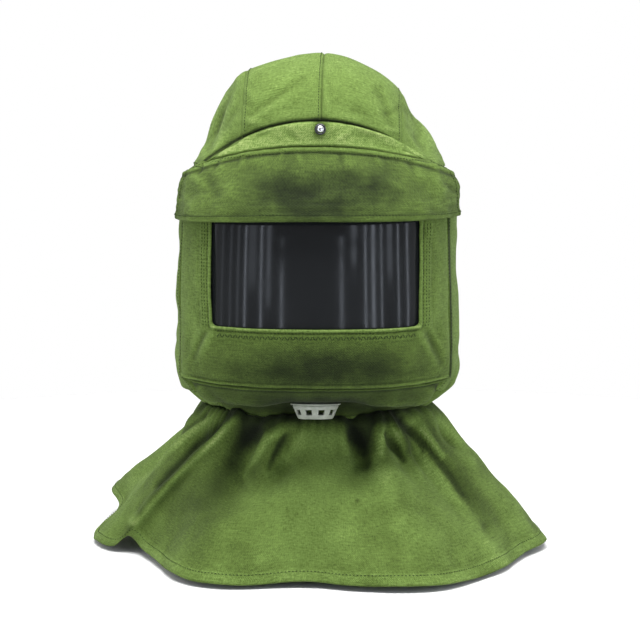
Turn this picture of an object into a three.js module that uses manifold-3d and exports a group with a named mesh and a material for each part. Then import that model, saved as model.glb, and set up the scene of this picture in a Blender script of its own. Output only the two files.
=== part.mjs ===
// A sandblasting hood for a worker's head, in millimetres, +Z up, the face looking along -Y.
// Canvas panels are sewn into a tall crown and a bowed face box with a window. A visor flap hangs
// over the window's top, a breather valve sits under the chin, and a gathered cape covers the
// shoulders. The origin is the spot inside the crown's top where the hood sits on the head.
import * as THREE from "three";
import { mergeVertices } from "three/addons/utils/BufferGeometryUtils.js";
import Module from "manifold-3d";

const wasm = await Module();
wasm.setup();

// Driving sizes of the body, from the neck's seam up to the crown's top
const bodyHeight = 365;
const bodyHalfWidth = 145;
const faceReach = 176; // axis to the front of the face panel
const backReach = 149; // axis to the back of the head
const canvasWall = 1.5;
const seamGap = 0.5; // between two panels that meet in a seam
const layerGap = 0.4; // between two layers that lie on each other
const crownLean = 0.06; // the soft crown sinks to the wearer's left by this slope
const bodySlip = 5; // the soft body hangs off the middle by up to this much

// Seams of the body
const jawSeamRise = 40; // neck to the seam under the face panel
const flapSeamRise = 271.5; // neck to the middle of the flap's seam
const flapSeamDrop = 23.5; // how much lower that seam is at the sides
const flapSeamHalf = 131;
const bandHeight = 26; // brow band, at the middle
const bandHalf = 118;
const cornerSeamHalf = 130; // middle to the upright seams beside the face panel
const chinBottomHalf = 96; // half width of the chin panel at the neck
const crownSeamHalf = 80; // middle seam to the crown's side seams
const crownSeamSlip = 5; // the middle seam lies this far to the wearer's left

// Window
const windowWidth = 202;
const windowHeight = 104;
const windowSill = 59; // jaw seam to the window's lower edge
const windowCorner = 8;
const paneWall = 1.2;
const paneLap = 11; // pane hidden behind the canvas all round

// Visor flap
const flapDrop = 69; // flap seam's middle to the flap's free edge
const flapWall = 2; // two layers, turned at the edges
const flapStandoff = 14; // how far the free edge stands off the face, in the middle
const flapEndStandoff = 5; // and at its ends
const flapPuff = 6; // the end on the wearer's left bulges by this much
const flapEndReach = 62; // the flap's ends stop this far in front of the axis

// Neck band and cape
const neckBandHeight = 12;
const neckBandWall = 2.6;
const capeHeight = 134; // hem to the neck band
const capeReach = 243; // axis to the furthest tip of the hem
const gatherDepth = 26; // deepest valley of the gathers
const hemWidth = 12;
const hemWall = 2.4; // the hem is turned once

// Breather valve, round, under the chin
const valveReach = 124; // axis to the valve's middle
const valveBearing = 1.4; // degrees off the front, which brings it under the window's middle
const valvePlateRadius = 25;
const valvePlateWall = 1.8;
const valveNeckRadius = 16;
const valveBoreRadius = 13;
const valveLipRadius = 19;
const valveLipWall = 1.5;
const valveBow = 1.8; // room the bowed canvas takes on either side of its own wall
const cageTopRadius = 22.5;
const cageFootRadius = 17;
const cageHeight = 13.5;
const cageWall = 1.8;
const cageSlots = 10;
const cageSlotWidth = 7.6;
const cageSlotHeight = 4.6;

// Press stud on the brow band
const studDrop = 9; // band's top edge down to the stud
const studBearing = 3.2; // degrees off the front, in line with the crown's middle seam
const studRingRadius = 5.6;
const studCapRadius = 3.9;
const studShankRadius = 1.4;
const studGap = 1; // between the stud's discs and the band, which is bowed

// Colours from the photograph
const canvasGreen = new THREE.MeshStandardMaterial({ color: 0x6f9140, roughness: 0.9, metalness: 0 });
const paneGrey = new THREE.MeshStandardMaterial({
  color: 0x202124, roughness: 0.08, metalness: 0, transparent: true, opacity: 0.55,
});
const valveWhite = new THREE.MeshStandardMaterial({ color: 0xb9bbb2, roughness: 0.45, metalness: 0 });
const studSteel = new THREE.MeshStandardMaterial({ color: 0xc9ccd0, roughness: 0.25, metalness: 1 });
const studDark = new THREE.MeshStandardMaterial({ color: 0x3b3d3f, roughness: 0.4, metalness: 1 });

const hem = 0;
const capeTop = hem + capeHeight;
const neckTop = capeTop + neckBandHeight;
const jawSeam = neckTop + jawSeamRise;
const degrees = Math.PI / 180;
const turnSides = 20; // facets round a turned part
const far = 2 * (bodyHeight + capeReach); // past the object on every side

// Level sections of the body, neck to crown. rise, width, front and back are shares of bodyHeight,
// bodyHalfWidth, faceReach and backReach; square is the section's superellipse power and slip the
// share of bodySlip it lies to the wearer's left.
const bodySections = [
  { name: "neck", rise: 0, width: 0.8, front: 0.523, back: 0.839, square: 2, slip: -1 },
  { name: "throat_top", rise: 0.047, width: 0.945, front: 0.551, back: 0.893, square: 2.1, slip: -0.85 },
  { name: "chin", rise: 0.058, width: 0.969, front: 0.705, back: 0.906, square: 2.2, slip: -0.7 },
  { name: "chin_front", rise: 0.062, width: 0.976, front: 0.807, back: 0.913, square: 2.3, slip: -0.65 },
  { name: "chin_turn", rise: 0.073, width: 0.986, front: 0.886, back: 0.926, square: 2.4, slip: -0.55 },
  { name: "jaw", rise: 0.11, width: 1.007, front: 0.955, back: 0.953, square: 2.5, slip: -0.35 },
  { name: "mouth", rise: 0.189, width: 1.01, front: 0.983, back: 0.98, square: 2.6, slip: -0.35 },
  { name: "nose", rise: 0.329, width: 1.003, front: 1, back: 1, square: 2.6, slip: -0.35 },
  { name: "eyes", rise: 0.477, width: 0.99, front: 1, back: 1, square: 2.6, slip: -0.3 },
  { name: "window_top", rise: 0.559, width: 0.979, front: 0.989, back: 1, square: 2.6, slip: -0.2 },
  { name: "brow", rise: 0.619, width: 0.959, front: 0.92, back: 1, square: 2.5, slip: 0 },
  { name: "shoulder", rise: 0.68, width: 0.9, front: 0.807, back: 0.993, square: 2.4, slip: -0.1 },
  { name: "flap_seam", rise: 0.745, width: 0.814, front: 0.676, back: 0.973, square: 2.25, slip: -0.3 },
  { name: "forehead", rise: 0.805, width: 0.738, front: 0.648, back: 0.933, square: 2.2, slip: -0.55 },
  { name: "crown_low", rise: 0.86, width: 0.666, front: 0.591, back: 0.852, square: 2.2, slip: -0.5 },
  { name: "crown_mid", rise: 0.901, width: 0.603, front: 0.523, back: 0.752, square: 2.15, slip: -0.35 },
  { name: "crown_bend", rise: 0.932, width: 0.531, front: 0.443, back: 0.644, square: 2.1, slip: -0.1 },
  { name: "crown_high", rise: 0.956, width: 0.424, front: 0.347, back: 0.51, square: 2.05, slip: 0.3 },
  { name: "top_ring", rise: 0.975, width: 0.303, front: 0.25, back: 0.369, square: 2, slip: 0.5 },
  { name: "top_cap", rise: 0.992, width: 0.166, front: 0.136, back: 0.201, square: 2, slip: 0.8 },
  { name: "apex", rise: 1, width: 0, front: 0, back: 0, square: 2, slip: 1 },
];

// Main dents and bulges of the body. rise and along are shares of bodyHeight, bearing and across
// are degrees round the axis from the face, and depth is a share of bodyHalfWidth, outwards.
const bodyDents = [
  { name: "left_temple_hollow", bearing: -66, rise: 0.79, across: 13, along: 0.05, depth: -0.045 },
  { name: "right_temple_hollow", bearing: 70, rise: 0.8, across: 12, along: 0.05, depth: -0.04 },
  { name: "left_shoulder_bulge", bearing: -92, rise: 0.92, across: 30, along: 0.035, depth: 0.015 },
  { name: "right_shoulder_dip", bearing: 88, rise: 0.94, across: 34, along: 0.03, depth: -0.02 },
  { name: "right_brow_bulge", bearing: 74, rise: 0.64, across: 9, along: 0.028, depth: 0.03 },
  { name: "left_pull", bearing: -44, rise: 0.235, across: 6, along: 0.05, depth: -0.03 },
  { name: "right_pull", bearing: 44, rise: 0.235, across: 6, along: 0.05, depth: -0.03 },
  { name: "left_jaw_puff", bearing: -52, rise: 0.15, across: 9, along: 0.04, depth: 0.02 },
  { name: "right_jaw_puff", bearing: 54, rise: 0.15, across: 9, along: 0.04, depth: 0.02 },
  { name: "back_hollow", bearing: 180, rise: 0.45, across: 30, along: 0.12, depth: -0.04 },
];

// Lines of the cape from the neck to the hem, all the way round from the back. neck and hem are
// bearings in degrees from the face, reach is a share of capeReach, lift a share of capeHeight
// above the hem's level, and bow the power of the line's fall (1 is straight).
const capeLines = [
  { name: "back", neck: -180, hem: -180, reach: 0.845, lift: 0, bow: 1.2 },
  { name: "back_left_low", neck: -152, hem: -152, reach: 1.06, lift: 0.06, bow: 1.1 },
  { name: "back_left_corner", neck: -112, hem: -122, reach: 1.145, lift: 0.185, bow: 1.1 },
  { name: "left_valley", neck: -97, hem: -108, reach: 0.97, lift: 0.12, bow: 1.05 },
  { name: "left_tip", neck: -82, hem: -95, reach: 1.005, lift: -0.015, bow: 1.05 },
  { name: "left_flute", neck: -72, hem: -84, reach: 0.965, lift: -0.01, bow: 1.1 },
  { name: "left_flute_edge", neck: -64, hem: -77.5, reach: 0.905, lift: 0, bow: 1.1 },
  { name: "left_arch", neck: -58, hem: -74.5, reach: 0.842, lift: 0.095, bow: 1.15 },
  { name: "left_arch_foot", neck: -53, hem: -70, reach: 0.8, lift: 0.02, bow: 1.15 },
  { name: "front_left_hollow", neck: -45, hem: -57, reach: 0.798, lift: 0, bow: 1.2 },
  { name: "front_left_side", neck: -37, hem: -44, reach: 0.856, lift: 0, bow: 1.2 },
  { name: "front_left_swell", neck: -29, hem: -33, reach: 0.898, lift: -0.005, bow: 1.2 },
  { name: "front_left", neck: -19, hem: -21, reach: 0.86, lift: -0.01, bow: 1.25 },
  { name: "front_dip_left", neck: -9, hem: -9, reach: 0.775, lift: -0.008, bow: 1.3 },
  { name: "front", neck: 0, hem: 0, reach: 0.765, lift: 0, bow: 1.3 },
  { name: "front_dip_right", neck: 8, hem: 9, reach: 0.815, lift: -0.005, bow: 1.3 },
  { name: "front_right", neck: 19, hem: 21, reach: 0.89, lift: 0, bow: 1.3 },
  { name: "front_right_swell", neck: 29, hem: 32, reach: 0.942, lift: 0, bow: 1.3 },
  { name: "front_right_side", neck: 40, hem: 43, reach: 0.93, lift: -0.01, bow: 1.3 },
  { name: "right_hollow", neck: 55, hem: 58, reach: 0.915, lift: -0.015, bow: 1.3 },
  { name: "right_side", neck: 70, hem: 74, reach: 0.91, lift: -0.005, bow: 1.3 },
  { name: "right_tip", neck: 86, hem: 88, reach: 0.985, lift: 0.01, bow: 1.25 },
  { name: "right_back", neck: 106, hem: 108, reach: 0.93, lift: 0.03, bow: 1.2 },
  { name: "back_right_corner", neck: 130, hem: 132, reach: 0.985, lift: 0.03, bow: 1.2 },
  { name: "back_right_low", neck: 155, hem: 156, reach: 0.9, lift: 0, bow: 1.2 },
];

// Gathers that fall from the neck band. neck and end are bearings, depth a share of gatherDepth,
// width the half width in degrees at the neck, spread its growth to the hem, and fade the share
// of the way to the hem where the valley runs out.
const gathers = [
  { name: "left_pleat", neck: -68, end: -72, depth: 0.5, width: 4.5, spread: 1, fade: 0.4 },
  { name: "left_shadow", neck: -36, end: -36, depth: 1, width: 8, spread: 1.2, fade: 0.8 },
  { name: "left_inner", neck: -12, end: -28, depth: 0.8, width: 6, spread: 1.2, fade: 0.7 },
  { name: "right_inner", neck: 25, end: 12, depth: 1, width: 8, spread: 0.4, fade: 0.6 },
  { name: "right_thin", neck: 41, end: 45, depth: 0.5, width: 4, spread: 1.2, fade: 0.7 },
  { name: "right_long", neck: 55, end: 56, depth: 0.75, width: 5, spread: 1.5, fade: 1.15 },
  { name: "right_pleat", neck: 77, end: 84, depth: 0.55, width: 5, spread: 1, fade: 0.45 },
  { name: "back_right", neck: 108, end: 112, depth: 0.5, width: 7, spread: 1.3, fade: 0.8 },
  { name: "back_right_inner", neck: 146, end: 146, depth: 0.55, width: 7, spread: 1.3, fade: 0.9 },
  { name: "back_middle", neck: 180, end: 180, depth: 0.45, width: 7, spread: 1.3, fade: 0.8 },
  { name: "back_left_inner", neck: -146, end: -142, depth: 0.55, width: 7, spread: 1.3, fade: 0.9 },
  { name: "back_left", neck: -104, end: -108, depth: 0.5, width: 6, spread: 1.2, fade: 0.9 },
];

const smooth = (from, to, value) => THREE.MathUtils.smoothstep(value, from, to);
const bell = (offset, halfWidth) => Math.exp(-((offset / halfWidth) ** 2));
const turnBetween = (a, b) => THREE.MathUtils.euclideanModulo(a - b + 180, 360) - 180;

// A smooth curve through one column of four neighbouring rows.
function spline(before, from, to, after, share) {
  const startSlope = (to - before) / 2;
  const endSlope = (after - from) / 2;
  const bend = 2 * (from - to) + startSlope + endSlope;
  const lean = 3 * (to - from) - 2 * startSlope - endSlope;
  return ((bend * share + lean) * share + startSlope) * share + from;
}

// The body's section at row number t, where the sizes shrink to nothing at the apex.
function bodySection(t) {
  const last = bodySections.length - 1;
  const row = Math.min(Math.floor(t), last - 1);
  const share = t - row;
  const section = {};
  for (const key of ["rise", "width", "front", "back", "square", "slip"]) {
    const value = (i) => {
      if (i < 0) return 2 * bodySections[0][key] - bodySections[1][key];
      if (i <= last) return bodySections[i][key];
      const mirrored = bodySections[last - 1][key];
      return ["rise", "square", "slip"].includes(key) ? mirrored : -mirrored;
    };
    section[key] = spline(value(row - 1), value(row), value(row + 1), value(row + 2), share);
  }
  return section;
}

// A point of the body's outer face at a bearing in degrees and a row number.
function bodyPoint(bearing, t) {
  const { rise, width, front, back, square, slip } = bodySection(t);
  const side = Math.sin(bearing * degrees);
  const ahead = Math.cos(bearing * degrees);
  const halfWidth = Math.max(width * bodyHalfWidth, 1e-3);
  const depth = Math.max(ahead > 0 ? front * faceReach : back * backReach, 1e-3);
  let radius = (Math.abs(side / halfWidth) ** square + Math.abs(ahead / depth) ** square) ** (-1 / square);
  for (const dent of bodyDents) {
    const across = bell(turnBetween(bearing, dent.bearing), dent.across);
    radius += dent.depth * bodyHalfWidth * across * bell(rise - dent.rise, dent.along);
  }
  const x = radius * side + slip * bodySlip;
  const lean = crownLean * smooth(0.74, 0.9, rise);
  return new THREE.Vector3(x, -radius * ahead, neckTop + rise * bodyHeight - lean * x);
}

// A point of the cape's outer face at a row number round it and a share of the way to the hem.
function capePoint(around, share) {
  const count = capeLines.length;
  const row = Math.floor(around);
  const line = {};
  for (const key of ["neck", "hem", "reach", "lift", "bow"]) {
    const value = (i) => {
      const laps = Math.floor(i / count);
      const turn = key === "neck" || key === "hem" ? 360 * laps : 0;
      return capeLines[i - laps * count][key] + turn;
    };
    line[key] = spline(value(row - 1), value(row), value(row + 1), value(row + 2), around - row);
  }
  const bearing = THREE.MathUtils.lerp(line.neck, line.hem, share);
  const neckPoint = bodyPoint(line.neck, 0);
  const neckRadius = Math.hypot(neckPoint.x, neckPoint.y);
  const fall = Math.max(share, 0) ** line.bow;
  let radius = THREE.MathUtils.lerp(neckRadius, line.reach * capeReach, share);
  let height = THREE.MathUtils.lerp(capeTop, hem + line.lift * capeHeight, fall);
  for (const gather of gathers) {
    const middle = THREE.MathUtils.lerp(gather.neck, gather.end, share);
    const width = gather.width * THREE.MathUtils.lerp(1, 1 + gather.spread, share);
    const strength = smooth(-0.04, 0.16, share) * (1 - smooth(0.2 * gather.fade, gather.fade, share));
    const push = gather.depth * gatherDepth * strength * bell(turnBetween(bearing, middle), width);
    radius -= 0.7 * push;
    height -= 0.7 * push * (1 - smooth(0.5, 1, share)) * (share > 0 ? 1 : 0);
  }
  return new THREE.Vector3(
    radius * Math.sin(bearing * degrees), -radius * Math.cos(bearing * degrees), height,
  );
}

// The outward direction of a surface at a place, from two short steps along it.
function outward(surface, around, along, aroundStep, alongStep) {
  const across = surface(around + aroundStep, along).sub(surface(around - aroundStep, along));
  const up = surface(around, along + alongStep).sub(surface(around, along - alongStep));
  return across.cross(up).normalize();
}

// A closed wall between two offsets of a surface. rings run from the lower rim to the upper one,
// columns go once round, and a capped wall ends in a point at its last ring.
function wall({ surface, columns, rings, outer, inner, step, capped }) {
  const positions = [];
  const place = (point, normal, offset) => {
    positions.push(...point.clone().addScaledVector(normal, offset).toArray());
    return positions.length / 3 - 1;
  };
  const grids = [outer, inner].map((offset) => rings.map((ring, i) => {
    const isTip = capped && i === rings.length - 1;
    const ids = columns.slice(0, isTip ? 1 : undefined).map((column) => {
      const point = surface(column, ring);
      const normal = isTip
        ? new THREE.Vector3(0, 0, 1)
        : outward(surface, column, ring, step.around, step.along);
      return place(point, normal, offset(point, ring));
    });
    return columns.map((_, j) => ids[isTip ? 0 : j]);
  }));
  const faces = [];
  const quad = (a, b, c, d) => {
    if (a !== b && b !== c) faces.push(a, b, c);
    if (c !== d && d !== a) faces.push(a, c, d);
  };
  const [outside, inside] = grids;
  const top = rings.length - 1;
  columns.forEach((_, j) => {
    const k = (j + 1) % columns.length;
    for (let i = 0; i < top; i += 1) {
      quad(outside[i][j], outside[i][k], outside[i + 1][k], outside[i + 1][j]);
      quad(inside[i][j], inside[i + 1][j], inside[i + 1][k], inside[i][k]);
    }
    quad(outside[0][k], outside[0][j], inside[0][j], inside[0][k]);
    if (!capped) quad(outside[top][j], outside[top][k], inside[top][k], inside[top][j]);
  });
  return new wasm.Manifold(new wasm.Mesh({
    numProp: 3, vertProperties: new Float32Array(positions), triVerts: new Uint32Array(faces),
  }));
}

// A three.js geometry as a solid for cutting and joining.
function solidOf(geometry) {
  const bare = geometry.clone();
  bare.deleteAttribute("normal");
  bare.deleteAttribute("uv");
  const merged = mergeVertices(bare, 1e-3);
  return new wasm.Manifold(new wasm.Mesh({
    numProp: 3,
    vertProperties: new Float32Array(merged.attributes.position.array),
    triVerts: new Uint32Array(merged.index.array),
  }));
}

// A front-view outline in x and z, drawn through the object from yFrom back to yTo.
function drawn(shape, yFrom = -far, yTo = far) {
  const geometry = new THREE.ExtrudeGeometry(shape, {
    depth: yTo - yFrom, bevelEnabled: false, curveSegments: 4,
  });
  geometry.rotateX(Math.PI / 2).translate(0, yTo, 0);
  return solidOf(geometry);
}

function outline(points) {
  return new THREE.Shape(points.map(([x, z]) => new THREE.Vector2(x, z)));
}

// The strip of the front view between two curves of x.
function between(lower, upper, halfWidth, steps) {
  const xs = Array.from({ length: steps + 1 }, (_, i) => halfWidth * ((2 * i) / steps - 1));
  return outline([
    ...xs.map((x) => [x, lower(x)]),
    ...xs.reverse().map((x) => [x, upper(x)]),
  ]);
}

function roundedWindow(grow) {
  const left = -windowWidth / 2 - grow;
  const right = windowWidth / 2 + grow;
  const low = jawSeam + windowSill - grow;
  const high = jawSeam + windowSill + windowHeight + grow;
  const r = windowCorner;
  const shape = new THREE.Shape();
  shape.moveTo(left + r, low).lineTo(right - r, low);
  shape.absarc(right - r, low + r, r, -Math.PI / 2, 0, false);
  shape.absarc(right - r, high - r, r, 0, Math.PI / 2, false);
  shape.absarc(left + r, high - r, r, Math.PI / 2, Math.PI, false);
  shape.absarc(left + r, low + r, r, Math.PI, 1.5 * Math.PI, false);
  return shape;
}

const flapSeam = (x) => neckTop + flapSeamRise
  - flapSeamDrop * Math.min(Math.abs(x) / flapSeamHalf, 1.2) ** 2.2;
const bandTop = (x) => flapSeam(x) + bandHeight * Math.max(0, 1 - (x / bandHalf) ** 2);

const group = new THREE.Group();
function addNode(name, solid, material) {
  const { vertProperties, triVerts } = solid.getMesh();
  const geometry = new THREE.BufferGeometry();
  geometry.setAttribute("position", new THREE.BufferAttribute(vertProperties, 3));
  geometry.setIndex(new THREE.BufferAttribute(triVerts, 1));
  geometry.computeVertexNormals();
  const mesh = new THREE.Mesh(geometry, material);
  mesh.name = name;
  group.add(mesh);
}

const evenly = (count, from, to) => Array.from(
  { length: count }, (_, i) => from + ((to - from) * i) / count,
);
const bodyRings = bodySections.map((_, row) => row);

const bodyColumns = evenly(40, -180, 180);

// One layer of the body, such as the canvas itself or the pane behind it.
function bodyLayer(outer, inner, rings = bodyRings) {
  return wall({
    surface: bodyPoint,
    columns: bodyColumns,
    rings,
    outer,
    inner,
    step: { around: 0.5, along: 0.02 },
    capped: rings[rings.length - 1] === bodySections.length - 1,
  });
}

// Canvas panels of the hood, cut from one layer along the seams
const canvas = bodyLayer(() => 0, () => -canvasWall);
const half = seamGap / 2;
const steps = 14;
const wide = 1.5 * bodyHalfWidth;
const lowCurve = () => -far;
const highCurve = () => far;

const underFlapSeam = drawn(between(lowCurve, (x) => flapSeam(x) - half, wide, steps));
const overFlapSeam = drawn(between((x) => flapSeam(x) + half, highCurve, wide, steps));
const overBand = drawn(between((x) => bandTop(x) + half, highCurve, wide, 24), -far, 0);
const backHalf = drawn(between(lowCurve, highCurve, wide, 1), 0, far);
const crown = canvas.intersect(overFlapSeam).intersect(overBand.add(backHalf));
const lowerBody = canvas.intersect(underFlapSeam);

for (const [side, sign] of [["left", -1], ["right", 1]]) {
  const xs = [half, crownSeamHalf - half, crownSeamHalf + half, far];
  const [middle, inner, outer, edge] = xs.map((x) => sign * x + crownSeamSlip);
  addNode(`crown_panel_${side}`, crown.intersect(drawn(outline(
    sign > 0
      ? [[middle, -far], [inner, -far], [inner, far], [middle, far]]
      : [[inner, -far], [middle, -far], [middle, far], [inner, far]],
  ))), canvasGreen);
  addNode(`crown_side_${side}`, crown.intersect(drawn(outline(
    sign > 0
      ? [[outer, -far], [edge, -far], [edge, far], [outer, far]]
      : [[edge, -far], [outer, -far], [outer, far], [edge, far]],
  ))), canvasGreen);
}

// The spot on the body's front where a height is reached, with its outward direction
function frontSpot(bearing, height) {
  let [low, high] = [0, bodySections.length - 1];
  for (let i = 0; i < 40; i += 1) {
    const middle = (low + high) / 2;
    if (bodyPoint(bearing, middle).z < height) low = middle;
    else high = middle;
  }
  return { point: bodyPoint(bearing, low), normal: outward(bodyPoint, bearing, low, 0.5, 0.02) };
}

// A turned part that stands on a surface: its profile's second number is the height above it.
function turnedAt({ point, normal }, profile, segments) {
  const lathe = new THREE.LatheGeometry(profile.map(([r, h]) => new THREE.Vector2(r, h)), segments);
  const turn = new THREE.Quaternion().setFromUnitVectors(new THREE.Vector3(0, 1, 0), normal);
  lathe.applyQuaternion(turn).translate(point.x, point.y, point.z);
  return solidOf(lathe);
}

const rod = (r, from, to) => [[0, from], [r, from], [r, to], [0, to]];

// Brow band between the flap's seam and the crown, with the press stud riveted through it
const stud = frontSpot(studBearing, bandTop(0) - studDrop);
const studHole = studShankRadius + layerGap;
const band = canvas
  .intersect(drawn(between((x) => flapSeam(x) + half, (x) => bandTop(x) - half, bandHalf - 4, steps), -far, 0))
  .subtract(turnedAt(stud, rod(studHole, -3 * canvasWall, 3 * canvasWall), turnSides / 2));
addNode("brow_band", band, canvasGreen);

const ringFoot = studGap;
const ringTop = ringFoot + 1.1;
addNode("stud_ring", turnedAt(stud, [
  [studHole, ringFoot], [studRingRadius, ringFoot], [studRingRadius, ringFoot + 0.5],
  [studCapRadius + 0.5, ringTop], [studHole, ringTop], [studHole, ringFoot],
], turnSides / 2), studDark);
const capFoot = ringTop + 0.3;
const backTop = -canvasWall - studGap;
addNode("stud_cap", turnedAt(stud, [
  [0, backTop - 0.8], [studRingRadius - 1, backTop - 0.8], [studRingRadius - 1, backTop],
  [studShankRadius, backTop], [studShankRadius, capFoot], [studCapRadius, capFoot],
  [studCapRadius, capFoot + 0.4], [0.85 * studCapRadius, capFoot + 1.2],
  [0.5 * studCapRadius, capFoot + 1.9], [0, capFoot + 2.1],
], turnSides / 2), studSteel);

// Face panel with its window, and the pane behind it
const jawUp = (grow) => drawn(outline([
  [-cornerSeamHalf - grow, jawSeam - grow], [cornerSeamHalf + grow, jawSeam - grow],
  [cornerSeamHalf + grow, far], [-cornerSeamHalf - grow, far],
]), -far, 0);
addNode(
  "face_panel",
  lowerBody.intersect(jawUp(-half)).subtract(drawn(roundedWindow(0), -far, 0)),
  canvasGreen,
);
const paneFront = -canvasWall - layerGap;
addNode(
  "window_pane",
  bodyLayer(() => paneFront, () => paneFront - paneWall)
    .intersect(drawn(roundedWindow(paneLap), -far, -bodyHalfWidth / 3)),
  paneGrey,
);

// Chin panel under the jaw seam, with the valve's hole
const valve = (() => {
  let [low, high] = [0, bodySections.findIndex(({ name }) => name === "jaw")];
  for (let i = 0; i < 40; i += 1) {
    const middle = (low + high) / 2;
    if (-bodyPoint(valveBearing, middle).y < valveReach) low = middle;
    else high = middle;
  }
  return {
    point: bodyPoint(valveBearing, low), normal: outward(bodyPoint, valveBearing, low, 0.5, 0.02),
  };
})();
const chinDown = (grow) => drawn(outline([
  [-chinBottomHalf - grow, neckTop - 1], [chinBottomHalf + grow, neckTop - 1],
  [cornerSeamHalf + grow, jawSeam + Math.min(grow, 0)],
  [cornerSeamHalf + grow, jawSeam + grow],
  [-cornerSeamHalf - grow, jawSeam + grow],
  [-cornerSeamHalf - grow, jawSeam + Math.min(grow, 0)],
]), -far, 0);
const valveHole = turnedAt(valve, rod(valveNeckRadius + layerGap, -4 * canvasWall, 4 * canvasWall), turnSides);
addNode("chin_panel", lowerBody.intersect(chinDown(-half)).subtract(valveHole), canvasGreen);

// Side panels, from the corner seams round to the seam at the back
const sides = lowerBody.subtract(jawUp(half)).subtract(chinDown(half));
for (const [side, sign] of [["left", -1], ["right", 1]]) {
  const [a, b] = [sign * half, sign * far].sort((p, q) => p - q);
  const zone = drawn(outline([[a, -far], [b, -far], [b, far], [a, far]]));
  addNode(`side_panel_${side}`, sides.intersect(zone), canvasGreen);
}

// Visor flap over the window's top
const flapEdge = neckTop + flapSeamRise - flapDrop;
const hang = (z) => smooth(0, 1, (neckTop + flapSeamRise - z) / flapDrop);
const flapInside = ({ x, z }) => {
  const toEnd = Math.min(Math.abs(x) / bodyHalfWidth, 1) ** 2;
  const standoff = THREE.MathUtils.lerp(flapStandoff, flapEndStandoff, toEnd);
  const puff = flapPuff * smooth(0.75, 1, x / bodyHalfWidth) * bell(hang(z) - 0.5, 0.3);
  return layerGap + standoff * hang(z) + puff;
};
const flapRings = bodyRings.filter((t) => {
  const { name } = bodySections[Math.min(Math.floor(t), bodySections.length - 1)];
  return ["eyes", "window_top", "brow", "shoulder", "flap_seam", "forehead"].includes(name);
});
addNode(
  "visor_flap",
  bodyLayer((p) => flapInside(p) + flapWall, flapInside, flapRings.flatMap((t) => [t, t + 0.5]))
    .intersect(drawn(between(() => flapEdge, (x) => flapSeam(x) - half, wide, steps), -far, -flapEndReach)),
  canvasGreen,
);

// Breather valve: a plate and a grooved neck that grips the canvas, and a slotted cage
const plateFace = valveBow + valvePlateWall;
const lipFace = -canvasWall - valveBow;
const lipBack = lipFace - valveLipWall;
addNode("valve_body", turnedAt(valve, [
  [valveBoreRadius, lipBack], [valveLipRadius, lipBack], [valveLipRadius, lipFace],
  [valveNeckRadius, lipFace], [valveNeckRadius, valveBow], [valvePlateRadius, valveBow],
  [valvePlateRadius, plateFace], [valveBoreRadius, plateFace], [valveBoreRadius, lipBack],
], turnSides), valveWhite);
const cageFoot = plateFace + layerGap;
const cageEnd = cageFoot + cageHeight;
const cageRing = 0.45 * cageHeight;
let cage = turnedAt(valve, [
  [cageTopRadius - cageWall, cageFoot], [cageTopRadius, cageFoot],
  [cageTopRadius, cageFoot + cageRing], [cageFootRadius, cageEnd], [0, cageEnd],
  [0, cageEnd - cageWall], [cageFootRadius - cageWall, cageEnd - cageWall],
  [cageTopRadius - cageWall, cageFoot + cageRing], [cageTopRadius - cageWall, cageFoot],
], turnSides);
for (let i = 0; i < cageSlots; i += 1) {
  const slot = new THREE.BoxGeometry(cageSlotWidth, cageSlotHeight, cageTopRadius);
  slot.translate(0, cageFoot + cageRing + cageSlotHeight / 2 + 0.4, cageTopRadius);
  slot.rotateY(((i + 0.5) * 2 * Math.PI) / cageSlots);
  const turn = new THREE.Quaternion().setFromUnitVectors(new THREE.Vector3(0, 1, 0), valve.normal);
  slot.applyQuaternion(turn).translate(valve.point.x, valve.point.y, valve.point.z);
  cage = cage.subtract(solidOf(slot));
}
addNode("valve_cage", cage, valveWhite);

// Neck band between the body and the cape, and the gathered cape
const bandPoint = (bearing, height) => bodyPoint(bearing, 0).setZ(height);
addNode("neck_band", wall({
  surface: bandPoint,
  columns: bodyColumns,
  rings: [capeTop + layerGap, neckTop - layerGap],
  outer: () => (neckBandWall - canvasWall) / 2,
  inner: () => (neckBandWall - canvasWall) / 2 - neckBandWall,
  step: { around: 0.5, along: 0.5 },
  capped: false,
}), canvasGreen);

const hemShare = 1 - hemWidth / (capeReach - bodyHalfWidth + canvasWall);
const capeRings = [1, hemShare, 0.72, 0.5, 0.34, 0.21, 0.1, 0];
addNode("cape", wall({
  surface: capePoint,
  columns: evenly(capeLines.length * 3, 0, capeLines.length),
  rings: capeRings,
  outer: () => 0,
  inner: (_, share) => (share > hemShare ? -hemWall : -canvasWall),
  step: { around: 0.02, along: -0.004 },
  capped: false,
}), canvasGreen);

// The origin goes to the seat inside the crown's top
const headSeat = bodyPoint(0, bodySections.length - 1).z - canvasWall;
group.children.forEach((mesh) => mesh.position.setZ(-headSeat));

export default group;
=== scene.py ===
import math

import bmesh
import bpy
import numpy as np
from mathutils import Matrix, Vector, noise


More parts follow.
